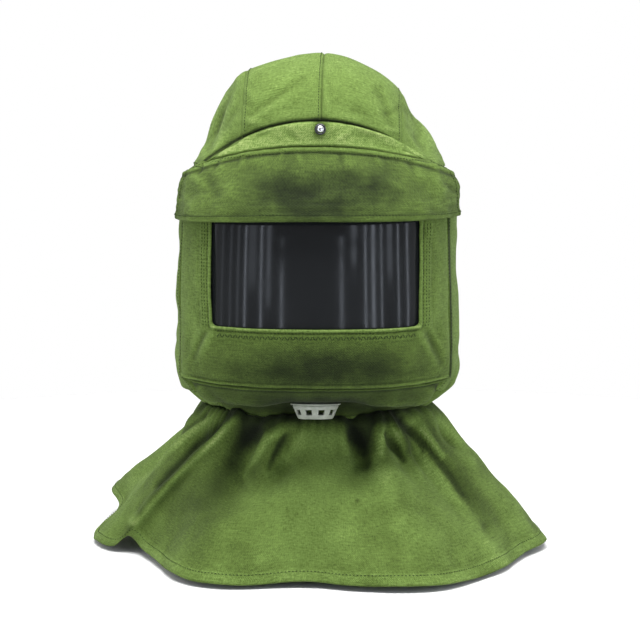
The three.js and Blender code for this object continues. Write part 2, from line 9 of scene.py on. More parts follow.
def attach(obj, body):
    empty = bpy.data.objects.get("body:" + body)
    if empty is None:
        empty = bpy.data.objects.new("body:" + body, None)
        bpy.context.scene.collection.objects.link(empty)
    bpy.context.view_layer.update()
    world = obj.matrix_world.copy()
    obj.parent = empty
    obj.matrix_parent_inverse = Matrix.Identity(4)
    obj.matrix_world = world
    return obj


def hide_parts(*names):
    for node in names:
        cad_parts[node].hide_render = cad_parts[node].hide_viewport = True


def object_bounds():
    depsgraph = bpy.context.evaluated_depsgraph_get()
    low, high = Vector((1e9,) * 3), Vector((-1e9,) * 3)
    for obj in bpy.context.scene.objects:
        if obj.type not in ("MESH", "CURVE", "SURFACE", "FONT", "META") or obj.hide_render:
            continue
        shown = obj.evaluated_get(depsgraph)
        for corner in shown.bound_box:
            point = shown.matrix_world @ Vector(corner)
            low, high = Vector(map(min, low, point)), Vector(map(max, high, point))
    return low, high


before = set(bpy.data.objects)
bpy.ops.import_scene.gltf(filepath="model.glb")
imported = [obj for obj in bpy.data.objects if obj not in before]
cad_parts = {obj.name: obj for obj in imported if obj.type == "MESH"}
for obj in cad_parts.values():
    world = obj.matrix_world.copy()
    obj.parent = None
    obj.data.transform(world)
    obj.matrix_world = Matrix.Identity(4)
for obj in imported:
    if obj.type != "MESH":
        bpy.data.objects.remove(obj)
cad_box = [list(corner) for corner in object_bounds()]

# The view of the hood.
# The camera stands two metres off, a little above the window and a little to the wearer's left,
# with a long lens, as for a catalogue picture.
aim = Vector((0, 0, -0.2765))
camera_data = bpy.data.cameras.new("camera")
camera_data.sensor_width = 36
camera_data.lens = 107.1
camera = bpy.data.objects.new("camera", camera_data)
bpy.context.collection.objects.link(camera)
tilt, turn = math.radians(7), math.radians(1.8)
camera.location = aim + 2 * Vector(
    (math.sin(turn) * math.cos(tilt), -math.cos(turn) * math.cos(tilt), math.sin(tilt))
)
camera.rotation_euler = (aim - camera.location).to_track_quat("-Z", "Y").to_euler()
bpy.context.scene.camera = camera

# The studio, a pale round floor just under the hem and a white surround that dims in front.
# A broad soft light hangs overhead, a dim panel stands at each side, and narrow upright strips all
# round the front give the curved window its streaks.


def new_finish(name):
    """A new material, its node tree and its main shader."""
    material = bpy.data.materials.new(name)
    material.use_nodes = True
    return material, material.node_tree, material.node_tree.nodes["Principled BSDF"]


def set_sockets(node, values):
    """Plain numbers and colours for a node's own sockets, by name."""
    for socket, value in values.items():
        node.inputs[socket].default_value = value


bm = bmesh.new()
bmesh.ops.create_circle(bm, cap_ends=True, segments=96, radius=1.05)
bmesh.ops.translate(bm, verts=bm.verts, vec=(0, 0, cad_box[0][2] - 0.002))
floor_mesh = bpy.data.meshes.new("floor")
bm.to_mesh(floor_mesh)
bm.free()
floor = bpy.data.objects.new("floor", floor_mesh)
bpy.context.collection.objects.link(floor)
paper, _, paper_shader = new_finish("pale_paper")
set_sockets(paper_shader, {"Base Color": (0.8, 0.8, 0.8, 1), "Roughness": 0.9})
floor_mesh.materials.append(paper)

bpy.context.scene.view_settings.view_transform = "Standard"
surround = bpy.data.worlds.new("surround")
surround.use_nodes = True
sky, sky_links = surround.node_tree.nodes, surround.node_tree.links
way = sky.new("ShaderNodeTexCoord")
way_parts = sky.new("ShaderNodeSeparateXYZ")
sky_links.new(way.outputs["Generated"], way_parts.inputs[0])
fade = sky.new("ShaderNodeMapRange")
fade.interpolation_type = "SMOOTHSTEP"
set_sockets(fade, {"From Min": -0.38, "From Max": 0.5, "To Min": 0.23, "To Max": 1.0})
sky_links.new(way_parts.outputs["Y"], fade.inputs["Value"])
sky_links.new(fade.outputs[0], sky["Background"].inputs["Strength"])
set_sockets(sky["Background"], {"Color": (1, 1, 1, 1)})
bpy.context.scene.world = surround


def soft_light(name, place, width, height, power, glossy=False, towards=(0, 0, -0.25), tint=(1, 1, 1)):
    lamp = bpy.data.lights.new(name, "AREA")
    lamp.shape = "RECTANGLE"
    lamp.size, lamp.size_y, lamp.energy = width, height, power
    lamp.color = tint
    light = bpy.data.objects.new(name, lamp)
    light.location = place
    light.rotation_euler = (Vector(towards) - Vector(place)).to_track_quat("-Z", "Y").to_euler()
    light.visible_camera = False
    light.visible_glossy = glossy
    bpy.context.collection.objects.link(light)


soft_light("overhead", (0, -0.6, 1.3), 1.6, 1.0, 62, glossy=True)
soft_light("left_panel", (-1.6, -0.5, 0.2), 0.4, 1.6, 7)
soft_light("right_panel", (1.6, -0.4, 0.2), 0.4, 1.6, 6)
strips = [
    # bearing from the front, width, height, level and power of each
    (-100, 0.10, 2.0, 0.0, 0.8), (-84, 0.03, 1.6, 0.0, 0.4), (-72, 0.05, 1.2, 0.1, 0.3),
    (-61, 0.04, 2.0, 0.0, 0.7), (-52, 0.1, 1.6, 0.3, 0.7), (-44, 0.05, 2.2, 0.0, 2.6),
    (-37, 0.3, 1.5, 0.5, 1.6), (-29, 0.05, 2.2, 0.0, 2.4), (-23, 0.12, 1.8, 0.5, 1.6),
    (-14, 0.05, 0.9, -0.6, 0.8), (9, 0.03, 0.8, -0.5, 0.7), (17, 0.16, 1.5, 0.6, 1.8),
    (26, 0.04, 2.2, 0.0, 2.6), (33, 0.12, 2.2, 0.2, 4.2), (41, 0.04, 2.0, 0.0, 2.0),
    (50, 0.25, 1.4, 0.5, 2.2), (60, 0.05, 2.2, 0.0, 2.6), (72, 0.08, 2.0, 0.0, 2.6),
    (88, 0.1, 2.0, 0.0, 2.4),
]
strips_off, cool_white = 2.4, (0.8, 0.87, 1.0)
for number, (bearing, width, height, level, power) in enumerate(strips):
    at = math.radians(bearing)
    spot = (strips_off * math.sin(at), -strips_off * math.cos(at), level - 0.2)
    soft_light(f"strip_{number}", spot, width, height, power, True, (0, 0, level - 0.2), cool_white)

# Green canvas, the heavy cotton of every sewn piece, in a plain weave with some thick threads and
# dye that takes unevenly. The weave follows each piece's own cutting pattern, in metres, and the
# per-vertex map adds painted highlight on ridges and painted shade in seams, folds and hollows.
weave = bpy.data.node_groups.new("canvas_weave", "ShaderNodeTree")
weave.interface.new_socket("Cloth", in_out="INPUT", socket_type="NodeSocketVector")
weave.interface.new_socket("Height", in_out="OUTPUT", socket_type="NodeSocketFloat")
weave.interface.new_socket("Shade", in_out="OUTPUT", socket_type="NodeSocketFloat")
parts, joins = weave.nodes, weave.links
given = parts.new("NodeGroupInput")
put_out = parts.new("NodeGroupOutput")
split = parts.new("ShaderNodeSeparateXYZ")
joins.new(given.outputs["Cloth"], split.inputs[0])


def reckon(tree, kind, first, second, third=None):
    """A Math node on numbers or on other nodes' outputs."""
    node = tree.nodes.new("ShaderNodeMath")
    node.operation = kind
    for slot, value in zip(node.inputs, (first, second, third)):
        if isinstance(value, bpy.types.NodeSocket):
            tree.links.new(value, slot)
        elif value is not None:
            slot.default_value = value
    return node.outputs[0]


def noise_map(tree, vector, stretch, detail):
    """Soft noise, with so many spots to a metre each way."""
    placed = tree.nodes.new("ShaderNodeMapping")
    set_sockets(placed, {"Scale": stretch})
    tree.links.new(vector, placed.inputs["Vector"])
    cloud = tree.nodes.new("ShaderNodeTexNoise")
    set_sockets(cloud, {"Scale": 1, "Detail": detail})
    tree.links.new(placed.outputs[0], cloud.inputs["Vector"])
    return cloud.outputs["Fac"]


def relief_of(tree, height, strength, depth, shader):
    """Relief in the shader's normal."""
    relief = tree.nodes.new("ShaderNodeBump")
    set_sockets(relief, {"Strength": strength, "Distance": depth})
    tree.links.new(height, relief.inputs["Height"])
    tree.links.new(relief.outputs["Normal"], shader.inputs["Normal"])


thread_gap = 0.0012
turns = [reckon(weave, "MULTIPLY", split.outputs[k], math.pi / thread_gap) for k in (0, 1)]
crossing = reckon(weave, "MULTIPLY", *[reckon(weave, "SINE", turn, 0) for turn in turns])
weft_slubs = noise_map(weave, given.outputs["Cloth"], (110, 640, 1), 2)
warp_slubs = noise_map(weave, given.outputs["Cloth"], (640, 150, 1), 2)
fuzz = noise_map(weave, given.outputs["Cloth"], (560, 560, 1), 2)
slubs = reckon(weave, "ADD", reckon(weave, "MULTIPLY", weft_slubs, 1.3), warp_slubs)
grain = reckon(weave, "ADD", reckon(weave, "MULTIPLY", slubs, 0.6), reckon(weave, "MULTIPLY", fuzz, 0.75))
joins.new(reckon(weave, "ADD", reckon(weave, "MULTIPLY", crossing, 0.3), grain), put_out.inputs["Height"])
joins.new(reckon(weave, "ADD", reckon(weave, "MULTIPLY", crossing, 0.05), grain), put_out.inputs["Shade"])


def canvas(name, green):
    """A canvas finish around one green."""
    material, tree, cloth = new_finish(name)
    pattern = tree.nodes.new("ShaderNodeUVMap")
    pattern.uv_map = "pattern"
    woven = tree.nodes.new("ShaderNodeGroup")
    woven.node_tree = weave
    tree.links.new(pattern.outputs["UV"], woven.inputs["Cloth"])
    place = tree.nodes.new("ShaderNodeTexCoord")
    patches = noise_map(tree, place.outputs["Object"], (11, 11, 11), 4)
    # Per-vertex painted shading from sew: painted shade in seams, folds and shaded places, painted highlight
    # on ridges.
    painted_shading = tree.nodes.new("ShaderNodeAttribute")
    painted_shading.attribute_name = "painted_shading"
    threads = reckon(tree, "MULTIPLY_ADD", woven.outputs["Shade"], 1.35, -0.43)
    dye = reckon(tree, "MULTIPLY_ADD", patches, 0.3, 0.83)
    tone = reckon(tree, "MULTIPLY", reckon(tree, "MULTIPLY", threads, dye), painted_shading.outputs["Fac"])
    greens = tree.nodes.new("ShaderNodeValToRGB")
    greens.color_ramp.elements[0].color = (0.004, 0.005, 0.004, 1)
    # The ramp's top end is paler and bluer than the green: painted sheen for the brightest canvas.
    greens.color_ramp.elements[1].color = (2.5 * green[0], 2.0 * green[1], 3.0 * green[2], 1)
    deep = greens.color_ramp.elements.new(0.3)
    deep.color = (0.6 * green[0], 0.6 * green[1], 0.54 * green[2], 1)
    middle = greens.color_ramp.elements.new(0.5)
    middle.color = (*green, 1)
    tree.links.new(reckon(tree, "MULTIPLY", tone, 0.42), greens.inputs["Fac"])
    tree.links.new(greens.outputs["Color"], cloth.inputs["Base Color"])
    relief_of(tree, woven.outputs["Height"], 0.6, 0.0011, cloth)
    set_sockets(cloth, {"Roughness": 0.92, "Specular IOR Level": 0.08})
    set_sockets(cloth, {"Sheen Weight": 0.03, "Sheen Roughness": 0.4})
    return material


canvas_green = canvas("canvas_green", (0.122, 0.189, 0.045))
# The stitches' thread is made very dark as painted shadow in the stitch holes.
stitch_shadow_green = canvas("stitch_shadow_green", (0.022, 0.036, 0.012))

# The crown over the head, four panels of canvas.
# Two strips run from the brow over the top to the back, and a half moon closes each side. The
# edges are turned in along the seams. The soft crown sinks a little towards the wearer's left.
hem_level = -0.5092
form_rows = np.array([
    # height over the hem, half width, front, back, squareness, slip to the wearer's left
    (146.0, 116.0, 92.0, 125.0, 2.0, -5.0),
    (163.2, 137.0, 97.0, 133.1, 2.1, -4.25),
    (167.2, 140.5, 124.1, 135.0, 2.2, -3.5),
    (168.6, 141.5, 142.0, 136.0, 2.3, -3.25),
    (172.6, 143.0, 155.9, 138.0, 2.4, -2.75),
    (186.2, 146.0, 168.1, 142.0, 2.5, -1.75),
    (215.0, 146.5, 173.0, 146.0, 2.6, -1.75),
    (266.1, 145.5, 176.0, 149.0, 2.6, -1.75),
    (320.1, 143.5, 176.0, 149.0, 2.6, -1.5),
    (350.0, 142.0, 174.1, 149.0, 2.6, -1.0),
    (371.9, 139.0, 161.9, 149.0, 2.5, 0.0),
    (394.2, 130.5, 142.0, 148.0, 2.4, -0.5),
    (417.9, 118.0, 119.0, 145.0, 2.25, -1.5),
    (439.8, 107.0, 114.0, 139.0, 2.2, -2.75),
    (459.9, 96.5, 104.0, 126.9, 2.2, -2.5),
    (474.9, 87.5, 92.0, 112.0, 2.15, -1.75),
    (486.2, 77.0, 78.0, 96.0, 2.1, -0.5),
    (494.9, 61.5, 61.1, 76.0, 2.05, 1.5),
    (501.9, 44.0, 44.0, 55.0, 2.0, 2.5),
    (508.1, 24.0, 23.9, 29.9, 2.0, 4.0),
    (511.0, 0.0, 0.0, 0.0, 2.0, 5.0),
])
crown_peak, head_middle, neck_top, side_top = form_rows[-1, 0], 385.0, 146.0, 394.0


def through(knots, steps):
    """Rows on smooth curves through the knots, at steps that count from the second knot."""
    row, share = np.floor(steps).astype(int), (steps % 1)[:, None]
    before, first, second, after = (knots[row + k] for k in range(4))
    rise, fall = (second - before) / 2, (after - first) / 2
    line = ((2 * (first - second) + rise + fall) * share + 3 * (second - first) - 2 * rise - fall) * share
    return (line + rise) * share + first


past_top = form_rows[-2] * (1, -1, -1, -1, 1, 1)
before_neck = 2 * form_rows[0] - form_rows[1]
form = through(
    np.vstack([before_neck, form_rows, past_top]), np.linspace(0, len(form_rows) - 1 - 1e-9, 900),
)

# bearing and reach round the axis in degrees, height and reach along it, push outwards, in mm
body_dents = [
    (-66, 434.4, 13, 18, -6.5), (70, 438.0, 12, 18, -5.8), (-92, 481.8, 30, 12.8, 2.2),
    (88, 489.1, 34, 11, -2.9), (74, 379.6, 9, 10.2, 4.4), (-44, 231.8, 6, 18, -4.4),
    (44, 231.8, 6, 18, -4.4), (-52, 200.8, 9, 14.6, 2.9), (54, 200.8, 9, 14.6, 2.9),
    (180, 310.3, 30, 43.8, -5.8),
]


def smooth(low, high, value):
    share = np.clip((value - low) / (high - low), 0, 1)
    return share * share * (3 - 2 * share)


def bell(offset, reach):
    return np.exp(-((offset / reach) ** 2))


def form_at(height):
    """Half width, front, back, squareness and slip of the body at a height."""
    return [np.interp(height, form[:, 0], form[:, k]) for k in range(1, 6)]


def crown_sink(x, height):
    return 0.06 * x * smooth(416.0, 474.5, height)


def body_reach(bearing, height):
    """Distance from the axis to the canvas at a bearing from the face, and the axis's slip."""
    wide, front, back, square, slip = form_at(height)
    side, ahead = np.sin(bearing), np.cos(bearing)
    deep = np.maximum(np.where(ahead > 0, front, back), 0.01)
    wide = np.maximum(wide, 0.01)
    reach = (np.abs(side / wide) ** square + np.abs(ahead / deep) ** square) ** (-1 / square)
    for at, level, round_by, up_by, push in body_dents:
        turned = (np.degrees(bearing) - at + 180) % 360 - 180
        reach = reach + push * bell(turned, round_by) * bell(height - level, up_by)
    return reach, slip


def body_at(bearing, height):
    reach, slip = body_reach(bearing, height)
    x = reach * np.sin(bearing) + slip
    return np.stack([x, -reach * np.cos(bearing), height - crown_sink(x, height)], -1)


def over_head(x, angle):
    """The crown's canvas where a ray leaves the head's middle in an upright plane at x."""
    inside, outside = np.zeros_like(x * angle), np.full_like(x * angle, 260.0)
    for _ in range(26):
        way = (inside + outside) / 2
        y, z = -way * np.cos(angle), head_middle + way * np.sin(angle)
        height = z + crown_sink(x, z)
        slip_there = np.interp(z, form[:, 0], form[:, 5])
        reach, slip = body_reach(np.arctan2(x - slip_there, -y), height)
        within = (np.hypot(x - slip, y) < reach) & (height < crown_peak)
        inside, outside = np.where(within, way, inside), np.where(within, outside, way)
    return np.stack([x + 0 * way, -way * np.cos(angle), head_middle + way * np.sin(angle)], -1)


def to_row(points):
    return (points * 0.001 + (0, 0, hem_level)).tolist()


def gather_ends(share, tight):
    """Closer rows of cloth near both edges, where the seam turns it in."""
    return share - tight * np.sin(2 * np.pi * share) / (2 * np.pi)


def cloth_at(base, lift, u, v):
    """Points, outward normals and lifts of a cloth: a bare surface, raised by folds and edges."""
    step = 1e-3
    round_it = base(u + step, v) - base(u - step, v)
    up_it = base(u, v + step) - base(u, v - step)
    normal = np.cross(round_it, up_it)
    normal /= np.maximum(np.linalg.norm(normal, axis=-1, keepdims=True), 1e-9)
    bare = base(u, v)
    height = lift(u, v, bare)
    return bare + normal * height[:, None], normal, height


def ripple(points, size, height, seed=0.0):
    """Soft unevenness of worn cloth, the same on every run."""
    return height * np.array([noise.noise(Vector(p) / size + Vector((seed, 0, 0))) for p in points])


def long_fold(points, line, reach, height):
    """One ridge or crease along a bent line in the front view, unbroken where the line bends."""
    line = np.array(line, float)
    legs = np.linalg.norm(np.diff(line, axis=0), axis=1)
    nearest, along = np.full(len(points), 1e9), np.zeros(len(points))
    for number, leg in enumerate(legs):
        run = line[number + 1] - line[number]
        away = points[:, [0, 2]] - line[number]
        share = np.clip(away @ run / (run @ run), 0, 1)
        off = np.linalg.norm(away - share[:, None] * run, axis=1)
        along = np.where(off < nearest, (legs[:number].sum() + share * leg) / legs.sum(), along)
        nearest = np.minimum(off, nearest)
    return height * bell(nearest, reach) * (0.35 + 0.65 * np.sin(np.pi * np.clip(along, 0.08, 0.92)))


def folds(points, lines):
    """Ridges and creases drawn in the front view: x, z, x, z, half width, height in mm."""
    return sum(long_fold(points, [(x1, z1), (x2, z2)], *size) for x1, z1, x2, z2, *size in lines)


def crease_shade(points):
    """Painted shade in the crease over the brow band, deepest over the stud, gone at the wearer's left."""
    x, over = points[:, 0], np.abs(points[:, 2] - brow_top(points[:, 0]))
    line = 0.75 * bell(over, 1.7) * smooth(78, 40, x) + 0.25 * bell(over, 4.5) * smooth(60, 10, x)
    stud_shade = 0.75 * bell(x - 4, 9) * bell(points[:, 2] - 442, 5)
    return 1 - np.clip(line + stud_shade, 0, 0.85) * (points[:, 1] < 0)


def make_piece(name, bm, finish):
    """An object of the finished mesh, riding on the hood."""
    for face in bm.faces:
        face.smooth = True
    mesh = bpy.data.meshes.new(name)
    bm.to_mesh(mesh)
    bm.free()
    mesh.materials.append(finish)
    piece = bpy.data.objects.new(name, mesh)
    bpy.context.collection.objects.link(piece)
    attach(piece, "root")
    return piece


def spread_out(grid, times, closed):
    """The grid's values averaged with their neighbours' again and again."""
    for _ in range(times):
        for axis in (0, 1):
            padded = np.pad(grid, [(1, 1) if k == axis else (0, 0) for k in (0, 1)], mode="edge")
            if closed and axis == 1:
                padded[:, 0], padded[:, -1] = grid[:, -2], grid[:, 1]
            low = padded[:-2] if axis == 0 else padded[:, :-2]
            high = padded[2:] if axis == 0 else padded[:, 2:]
            grid = (low + 2 * grid + high) / 4
    return grid


def sew(
    node, columns, rows, base, lift, size, wall=1.5, closed=False, painted_shading_of=None, finish=canvas_green,
    upright=False, relief_shading=0.38,
):
    """A cloth piece that stands for a node: a flat grid laid onto its place, its pattern in metres."""
    usual_reach = 0.16
    bm = bmesh.new()
    bmesh.ops.create_grid(bm, x_segments=columns, y_segments=rows, size=0.5)
    flat = np.array([vert.co[:2] for vert in bm.verts]) + 0.5
    u, v = flat[:, 0], flat[:, 1]
    points, _, heights = cloth_at(base, lift, u, v)
    grid = heights.reshape(rows + 1, columns + 1)
    # Painted shade and highlight from the relief: darker where the cloth sinks below its surroundings, paler
    # where it rises.
    relief = (grid - spread_out(grid, 30, closed)).ravel()
    painted_shading = np.clip(1 + relief_shading * relief, 0.3, 1.35)
    # Each piece's own painted light and shade multiplies in.
    if painted_shading_of:
        painted_shading = painted_shading * painted_shading_of(points)
    pattern = bm.loops.layers.uv.new("pattern")
    shading_layer = bm.verts.layers.float.new("painted_shading")
    lengths = flat * size / 1000
    if upright:
        lengths = np.stack([np.arctan2(points[:, 0], -points[:, 1]) * usual_reach, points[:, 2] / 1000], 1)
    bm.verts.index_update()
    for face in bm.faces:
        for loop in face.loops:
            loop[pattern].uv = lengths[loop.vert.index]
    for vert, spot, amount in zip(bm.verts, to_row(points), painted_shading.tolist()):
        vert.co = spot
        vert[shading_layer] = amount
    if closed:
        bmesh.ops.remove_doubles(bm, verts=bm.verts, dist=1e-6)
    piece = make_piece(node + "_cloth", bm, finish)
    body = piece.modifiers.new("cloth_wall", "SOLIDIFY")
    body.thickness = wall / 1000
    body.offset = -1
    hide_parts(node)
    return piece


def on_line(run, values, at):
    """The values that rows along a line have at a distance along it."""
    return np.array([np.interp(at, run, values[:, k]) for k in range(3)])


def stitch(name, base, lift, lines, gap=3.4, length=2.3, width=0.85):
    """Rows of thread: each line is a path over the cloth, set with dashes at an even gap."""
    bm = bmesh.new()
    shading_layer = bm.verts.layers.float.new("painted_shading")
    for u, v in lines:
        points, normals, _ = cloth_at(base, lift, u, v)
        run = np.concatenate([[0], np.cumsum(np.linalg.norm(np.diff(points, axis=0), axis=1))])
        for start in np.arange(gap / 2, run[-1], gap):
            ends = [on_line(run, points, start + off) for off in (-0.4, 0.4)]
            up = Vector(on_line(run, normals, start)).normalized()
            ahead = (Vector(ends[1]) - Vector(ends[0])).normalized()
            beside = up.cross(ahead).normalized()
            middle = Vector(to_row((ends[0] + ends[1]) / 2)) + up * 0.0004
            shape = Matrix((ahead * length / 2, beside * width / 2, up * width / 2.4)).transposed() * 0.001
            laid = Matrix.Translation(middle) @ shape.to_4x4()
            bmesh.ops.create_icosphere(bm, subdivisions=1, radius=1, matrix=laid)
    for vert in bm.verts:
        vert[shading_layer] = 1.0
    return make_piece(name, bm, stitch_shadow_green)


def darker_blotches(points, spots, seed, patchy):
    """Darkening in soft blotches, used as painted shade: x, z, half width, half height, strength."""
    total = np.zeros(len(points))
    for x, z, wide, tall, strength in spots:
        total += strength * bell(points[:, 0] - x, wide) * bell(points[:, 2] - z, tall)
    uneven = 1 + ripple(points, 26, patchy, seed) + ripple(points, 9, patchy / 2, seed + 5)
    return 1 - np.clip(total * uneven, 0, 0.88)


def turned_in(distance, puff, drop):
    """Lift near a seam: the canvas puffs a little and then rolls in to the stitching."""
    return puff * (1 - np.exp(-distance / 5)) - puff - drop * bell(distance, 1.6)


hands = [(-1, "left"), (1, "right")]
crown_seam, crown_seam_slip, strip_long = 80.0, 5.0, 300
seam_crest, seam_half, brow_rise, brow_half = 417.5, 131, 26.0, 118.0


def flap_seam(x):
    return seam_crest - (seam_crest - side_top) * np.minimum(np.abs(x) / seam_half, 1.2) ** 2.2


def brow_top(x):
    return flap_seam(x) + brow_rise * np.maximum(0, 1 - (x / brow_half) ** 2)


def seam_angle(x, height, back=False):
    """The ray over the head that meets the canvas at a height, found by halving."""
    low = np.full_like(x, 0.0 if not back else math.pi)
    high = np.full_like(x, math.pi / 2)
    for _ in range(18):
        middle = (low + high) / 2
        below = over_head(x, middle)[..., 2] < height
        low, high = np.where(below, middle, low), np.where(below, high, middle)
    return (low + high) / 2


def at_share(share, tight):
    """Where on the grid gather_ends puts this share."""
    grid = np.linspace(0, 1, 400)
    return np.interp(share, gather_ends(grid, tight), grid)


long_way = np.linspace(0.004, 0.996, 300)
for side, hand in hands:
    name = "crown_panel_" + hand
    across_table = np.linspace(0, crown_seam, 24)
    xs = crown_seam_slip + side * across_table
    front_table = seam_angle(xs, brow_top(xs))
    back_table = seam_angle(xs, flap_seam(xs), back=True)

    def strip(u, v, side=side, front_table=front_table, back_table=back_table):
        out = gather_ends(u if side > 0 else 1 - u, 0.7) * crown_seam
        x = crown_seam_slip + side * out
        start = np.interp(out, across_table, front_table)
        stop = np.interp(out, across_table, back_table)
        return over_head(x, start + (stop - start) * gather_ends(v, 0.5))

    def strip_lift(u, v, points, side=side):
        out = gather_ends(u if side > 0 else 1 - u, 0.7) * crown_seam
        seams = turned_in(out, 0.4, 0.8 if side > 0 else 1.5) + turned_in(crown_seam - out, 0.3, 0.45)
        faded = 1 - 0.8 * smooth(48, 80, points[:, 0])
        ends = faded * turned_in(gather_ends(v, 0.5) * strip_long, 0.6, 1.4)
        creases = folds(points, [
            (-14, 484, -66, 448, 6, -2.0), (-26, 472, -76, 434, 5, 1.4), (8, 476, 12, 446, 3, 1.2),
            (60, 472, 78, 430, 5, -1.6), (24, 462, 62, 440, 7, -1.2), (-76, 446, -50, 438, 4, 1.2),
            (-78, 462, -60, 456, 3, -0.9), (84, 456, 66, 448, 3, -0.9), (20, 448, 50, 444, 4, 1.0),
            (66, 436, 84, 430, 3, 1.2), (-40, 446, -20, 450, 4, 1.0), (-80, 478, -66, 470, 3, 0.8),
        ]) * (points[:, 1] < 0)
        return seams + ends + creases + ripple(points, 38, 0.8) + ripple(points, 14, 0.25, 7)

    panel = sew(name, 64, 150, strip, strip_lift, (crown_seam, strip_long), painted_shading_of=crease_shade)
    outs = (crown_seam - 3.6,) if side > 0 else (3.2, crown_seam - 3.6)
    rows = [at_share(out / crown_seam, 0.7) + 0 * long_way for out in outs]
    lines = [(row if side > 0 else 1 - row, long_way) for row in rows]
    thread = stitch(name + "_stitches", strip, strip_lift, lines)

for side, hand in hands:
    name = "crown_side_" + hand
    edge = crown_seam_slip + side * crown_seam

    def top_of(bearing, edge=edge, side=side):
        """How high a side panel reaches at a bearing: up to the strip's seam."""
        low, high = np.full_like(bearing, side_top), np.full_like(bearing, crown_peak - 1)
        for _ in range(18):
            middle = (low + high) / 2
            beyond = side * (body_at(bearing, middle)[..., 0] - edge) > 0
            low, high = np.where(beyond, middle, low), np.where(beyond, high, middle)
        return (low + high) / 2

    def bottom_of(bearing):
        x = body_at(bearing, side_top + 4)[..., 0]
        return np.where(np.cos(bearing) > 0, brow_top(x), flap_seam(x))

    bearings = np.radians(np.linspace(25, 165, 300)) * side
    open_part = bearings[top_of(bearings) > bottom_of(bearings) + 0.6]
    first, last = open_part.min(), open_part.max()

    def half_moon(u, v, first=first, last=last):
        bearing = first + (last - first) * (0.5 - 0.5 * np.cos(np.pi * np.clip(u, 0, 1)))
        bearing = bearing + (last - first) * (np.minimum(u, 0) + np.maximum(u - 1, 0)) * 0.01
        low, high = bottom_of(bearing), np.maximum(top_of(bearing), bottom_of(bearing) + 0.5)
        return body_at(bearing, low + (high - low) * gather_ends(v, 0.6))

    def half_moon_lift(u, v, points, edge=edge, side=side):
        seams = turned_in(np.abs(points[:, 0] - edge) * 1.3, 0.3, 0.45)
        below = np.where(points[:, 1] < 0, brow_top(points[:, 0]), flap_seam(points[:, 0]))
        foot = turned_in(np.abs(points[:, 2] - below) * 1.1, 0.5, 1.8 if side < 0 else 0.6)
        creases = folds(points, [
            (-88, 478, -112, 416, 4.5, -3.2), (-97, 470, -121, 412, 4, 2.4), (-90, 440, -104, 408, 4, 2.0),
            (-84, 452, -98, 424, 3, -1.6), (-104, 446, -126, 404, 3.5, -2.0),
            (-82, 426, -108, 404, 3, -1.8), (88, 470, 104, 428, 4, -3.0), (95, 462, 116, 416, 4, 2.2),
            (92, 436, 112, 404, 4, -2.2), (104, 440, 124, 404, 3.5, 1.8), (88, 446, 98, 424, 3, 1.5),
            (86, 428, 100, 412, 3, -1.6),
        ])
        return seams + foot + creases + ripple(points, 30, 1.8, 3) + ripple(points, 12, 0.5, 9)

    panel = sew(name, 90, 44, half_moon, half_moon_lift, (210, 80), painted_shading_of=crease_shade, relief_shading=0.2)

# The brow band, a crescent of canvas between the flap's seam and the crown.
# It is folded from doubled canvas, and a press stud is riveted through it under the crown's middle
# seam to hold the flap when it is turned up.


def bearing_of(x, height):
    """The bearing at which the front of the body has this x."""
    wide, front, _, square, slip = form_at(height)
    share = np.clip(np.abs(x - slip) / np.maximum(wide, 0.01), 0, 0.999)
    return np.arctan2(x - slip, front * (1 - share**square) ** (1 / square))


crescent_half = 112


def crescent(u, v):
    x = crescent_half * (2 * u - 1)
    low, high = flap_seam(x), brow_top(x)
    height = low + (high - low) * gather_ends(v, 0.6)
    return body_at(bearing_of(x, height), height)


def crescent_lift(u, v, points):
    high, low = brow_top(points[:, 0]), flap_seam(points[:, 0])
    above, below = np.maximum(high - points[:, 2], 0), np.maximum(points[:, 2] - low, 0)
    puckers = folds(points, [
        (-104, 404, -76, 420, 2.6, 1.8), (-90, 402, -66, 414, 2.4, -1.6), (-66, 426, -44, 432, 3, -1.2),
        (36, 438, 74, 424, 3, 1.7), (16, 422, 36, 434, 3, 1.0), (-16, 422, -32, 434, 3, -1.1),
        (68, 412, 98, 402, 2.6, 1.5), (58, 420, 86, 414, 2.6, -1.3), (-2, 424, 2, 440, 3, -1.0),
    ])
    seams = (1 - 0.8 * smooth(48, 80, points[:, 0])) * turned_in(above, 0.6, 2.2) + turned_in(below, 0.9, 2.4)
    return seams + puckers + ripple(points, 20, 0.9, 5)


def crescent_shading(points):
    # Painted shading of the brow band: lighter overall, with painted shade along the flap seam and round the
    # stud.
    over_flap = points[:, 2] - flap_seam(points[:, 0])
    stud_shade = 0.7 * bell(points[:, 0] - 4, 8) * bell(points[:, 2] - 440, 4)
    return 1.25 * (1 - 0.7 * bell(over_flap - 0.6, 1.8)) * (1 - stud_shade)


brow_band = sew("brow_band", 160, 24, crescent, crescent_lift, (260, 26), painted_shading_of=crescent_shading, upright=True)

# The face panel, one bowed piece of canvas with a large window.
# The window's edge is turned and stitched twice, and a slanted zigzag holds the pane's border
# under it. The outer edges go into the corner seams, the jaw seam and the flap's seam.
window_low, window_high, window_half, window_round = 245.0, 349.0, 101.0, 4.5
left_corner, right_corner, jaw = 0.955, 0.918, 186.0


def corner_at(side, height):
    """How far out the corner seam is: a share of the half width, on the left or right."""
    return np.where(side < 0, left_corner, right_corner) * form_at(height)[0]


def sharp_outline(u, half, low, high):
    """Clockwise round a rectangle as the viewer sees it, a quarter of u to each side."""
    u = u % 1
    leg, part = np.floor(u * 4), (u * 4) % 1
    legs = [leg == 0, leg == 1, leg == 2]
    x = np.select(legs, [half - 2 * half * part, -half + 0 * part, -half + 2 * half * part], half)
    z = np.select(legs, [low, low + (high - low) * part, high], high - (high - low) * part)
    return x, z


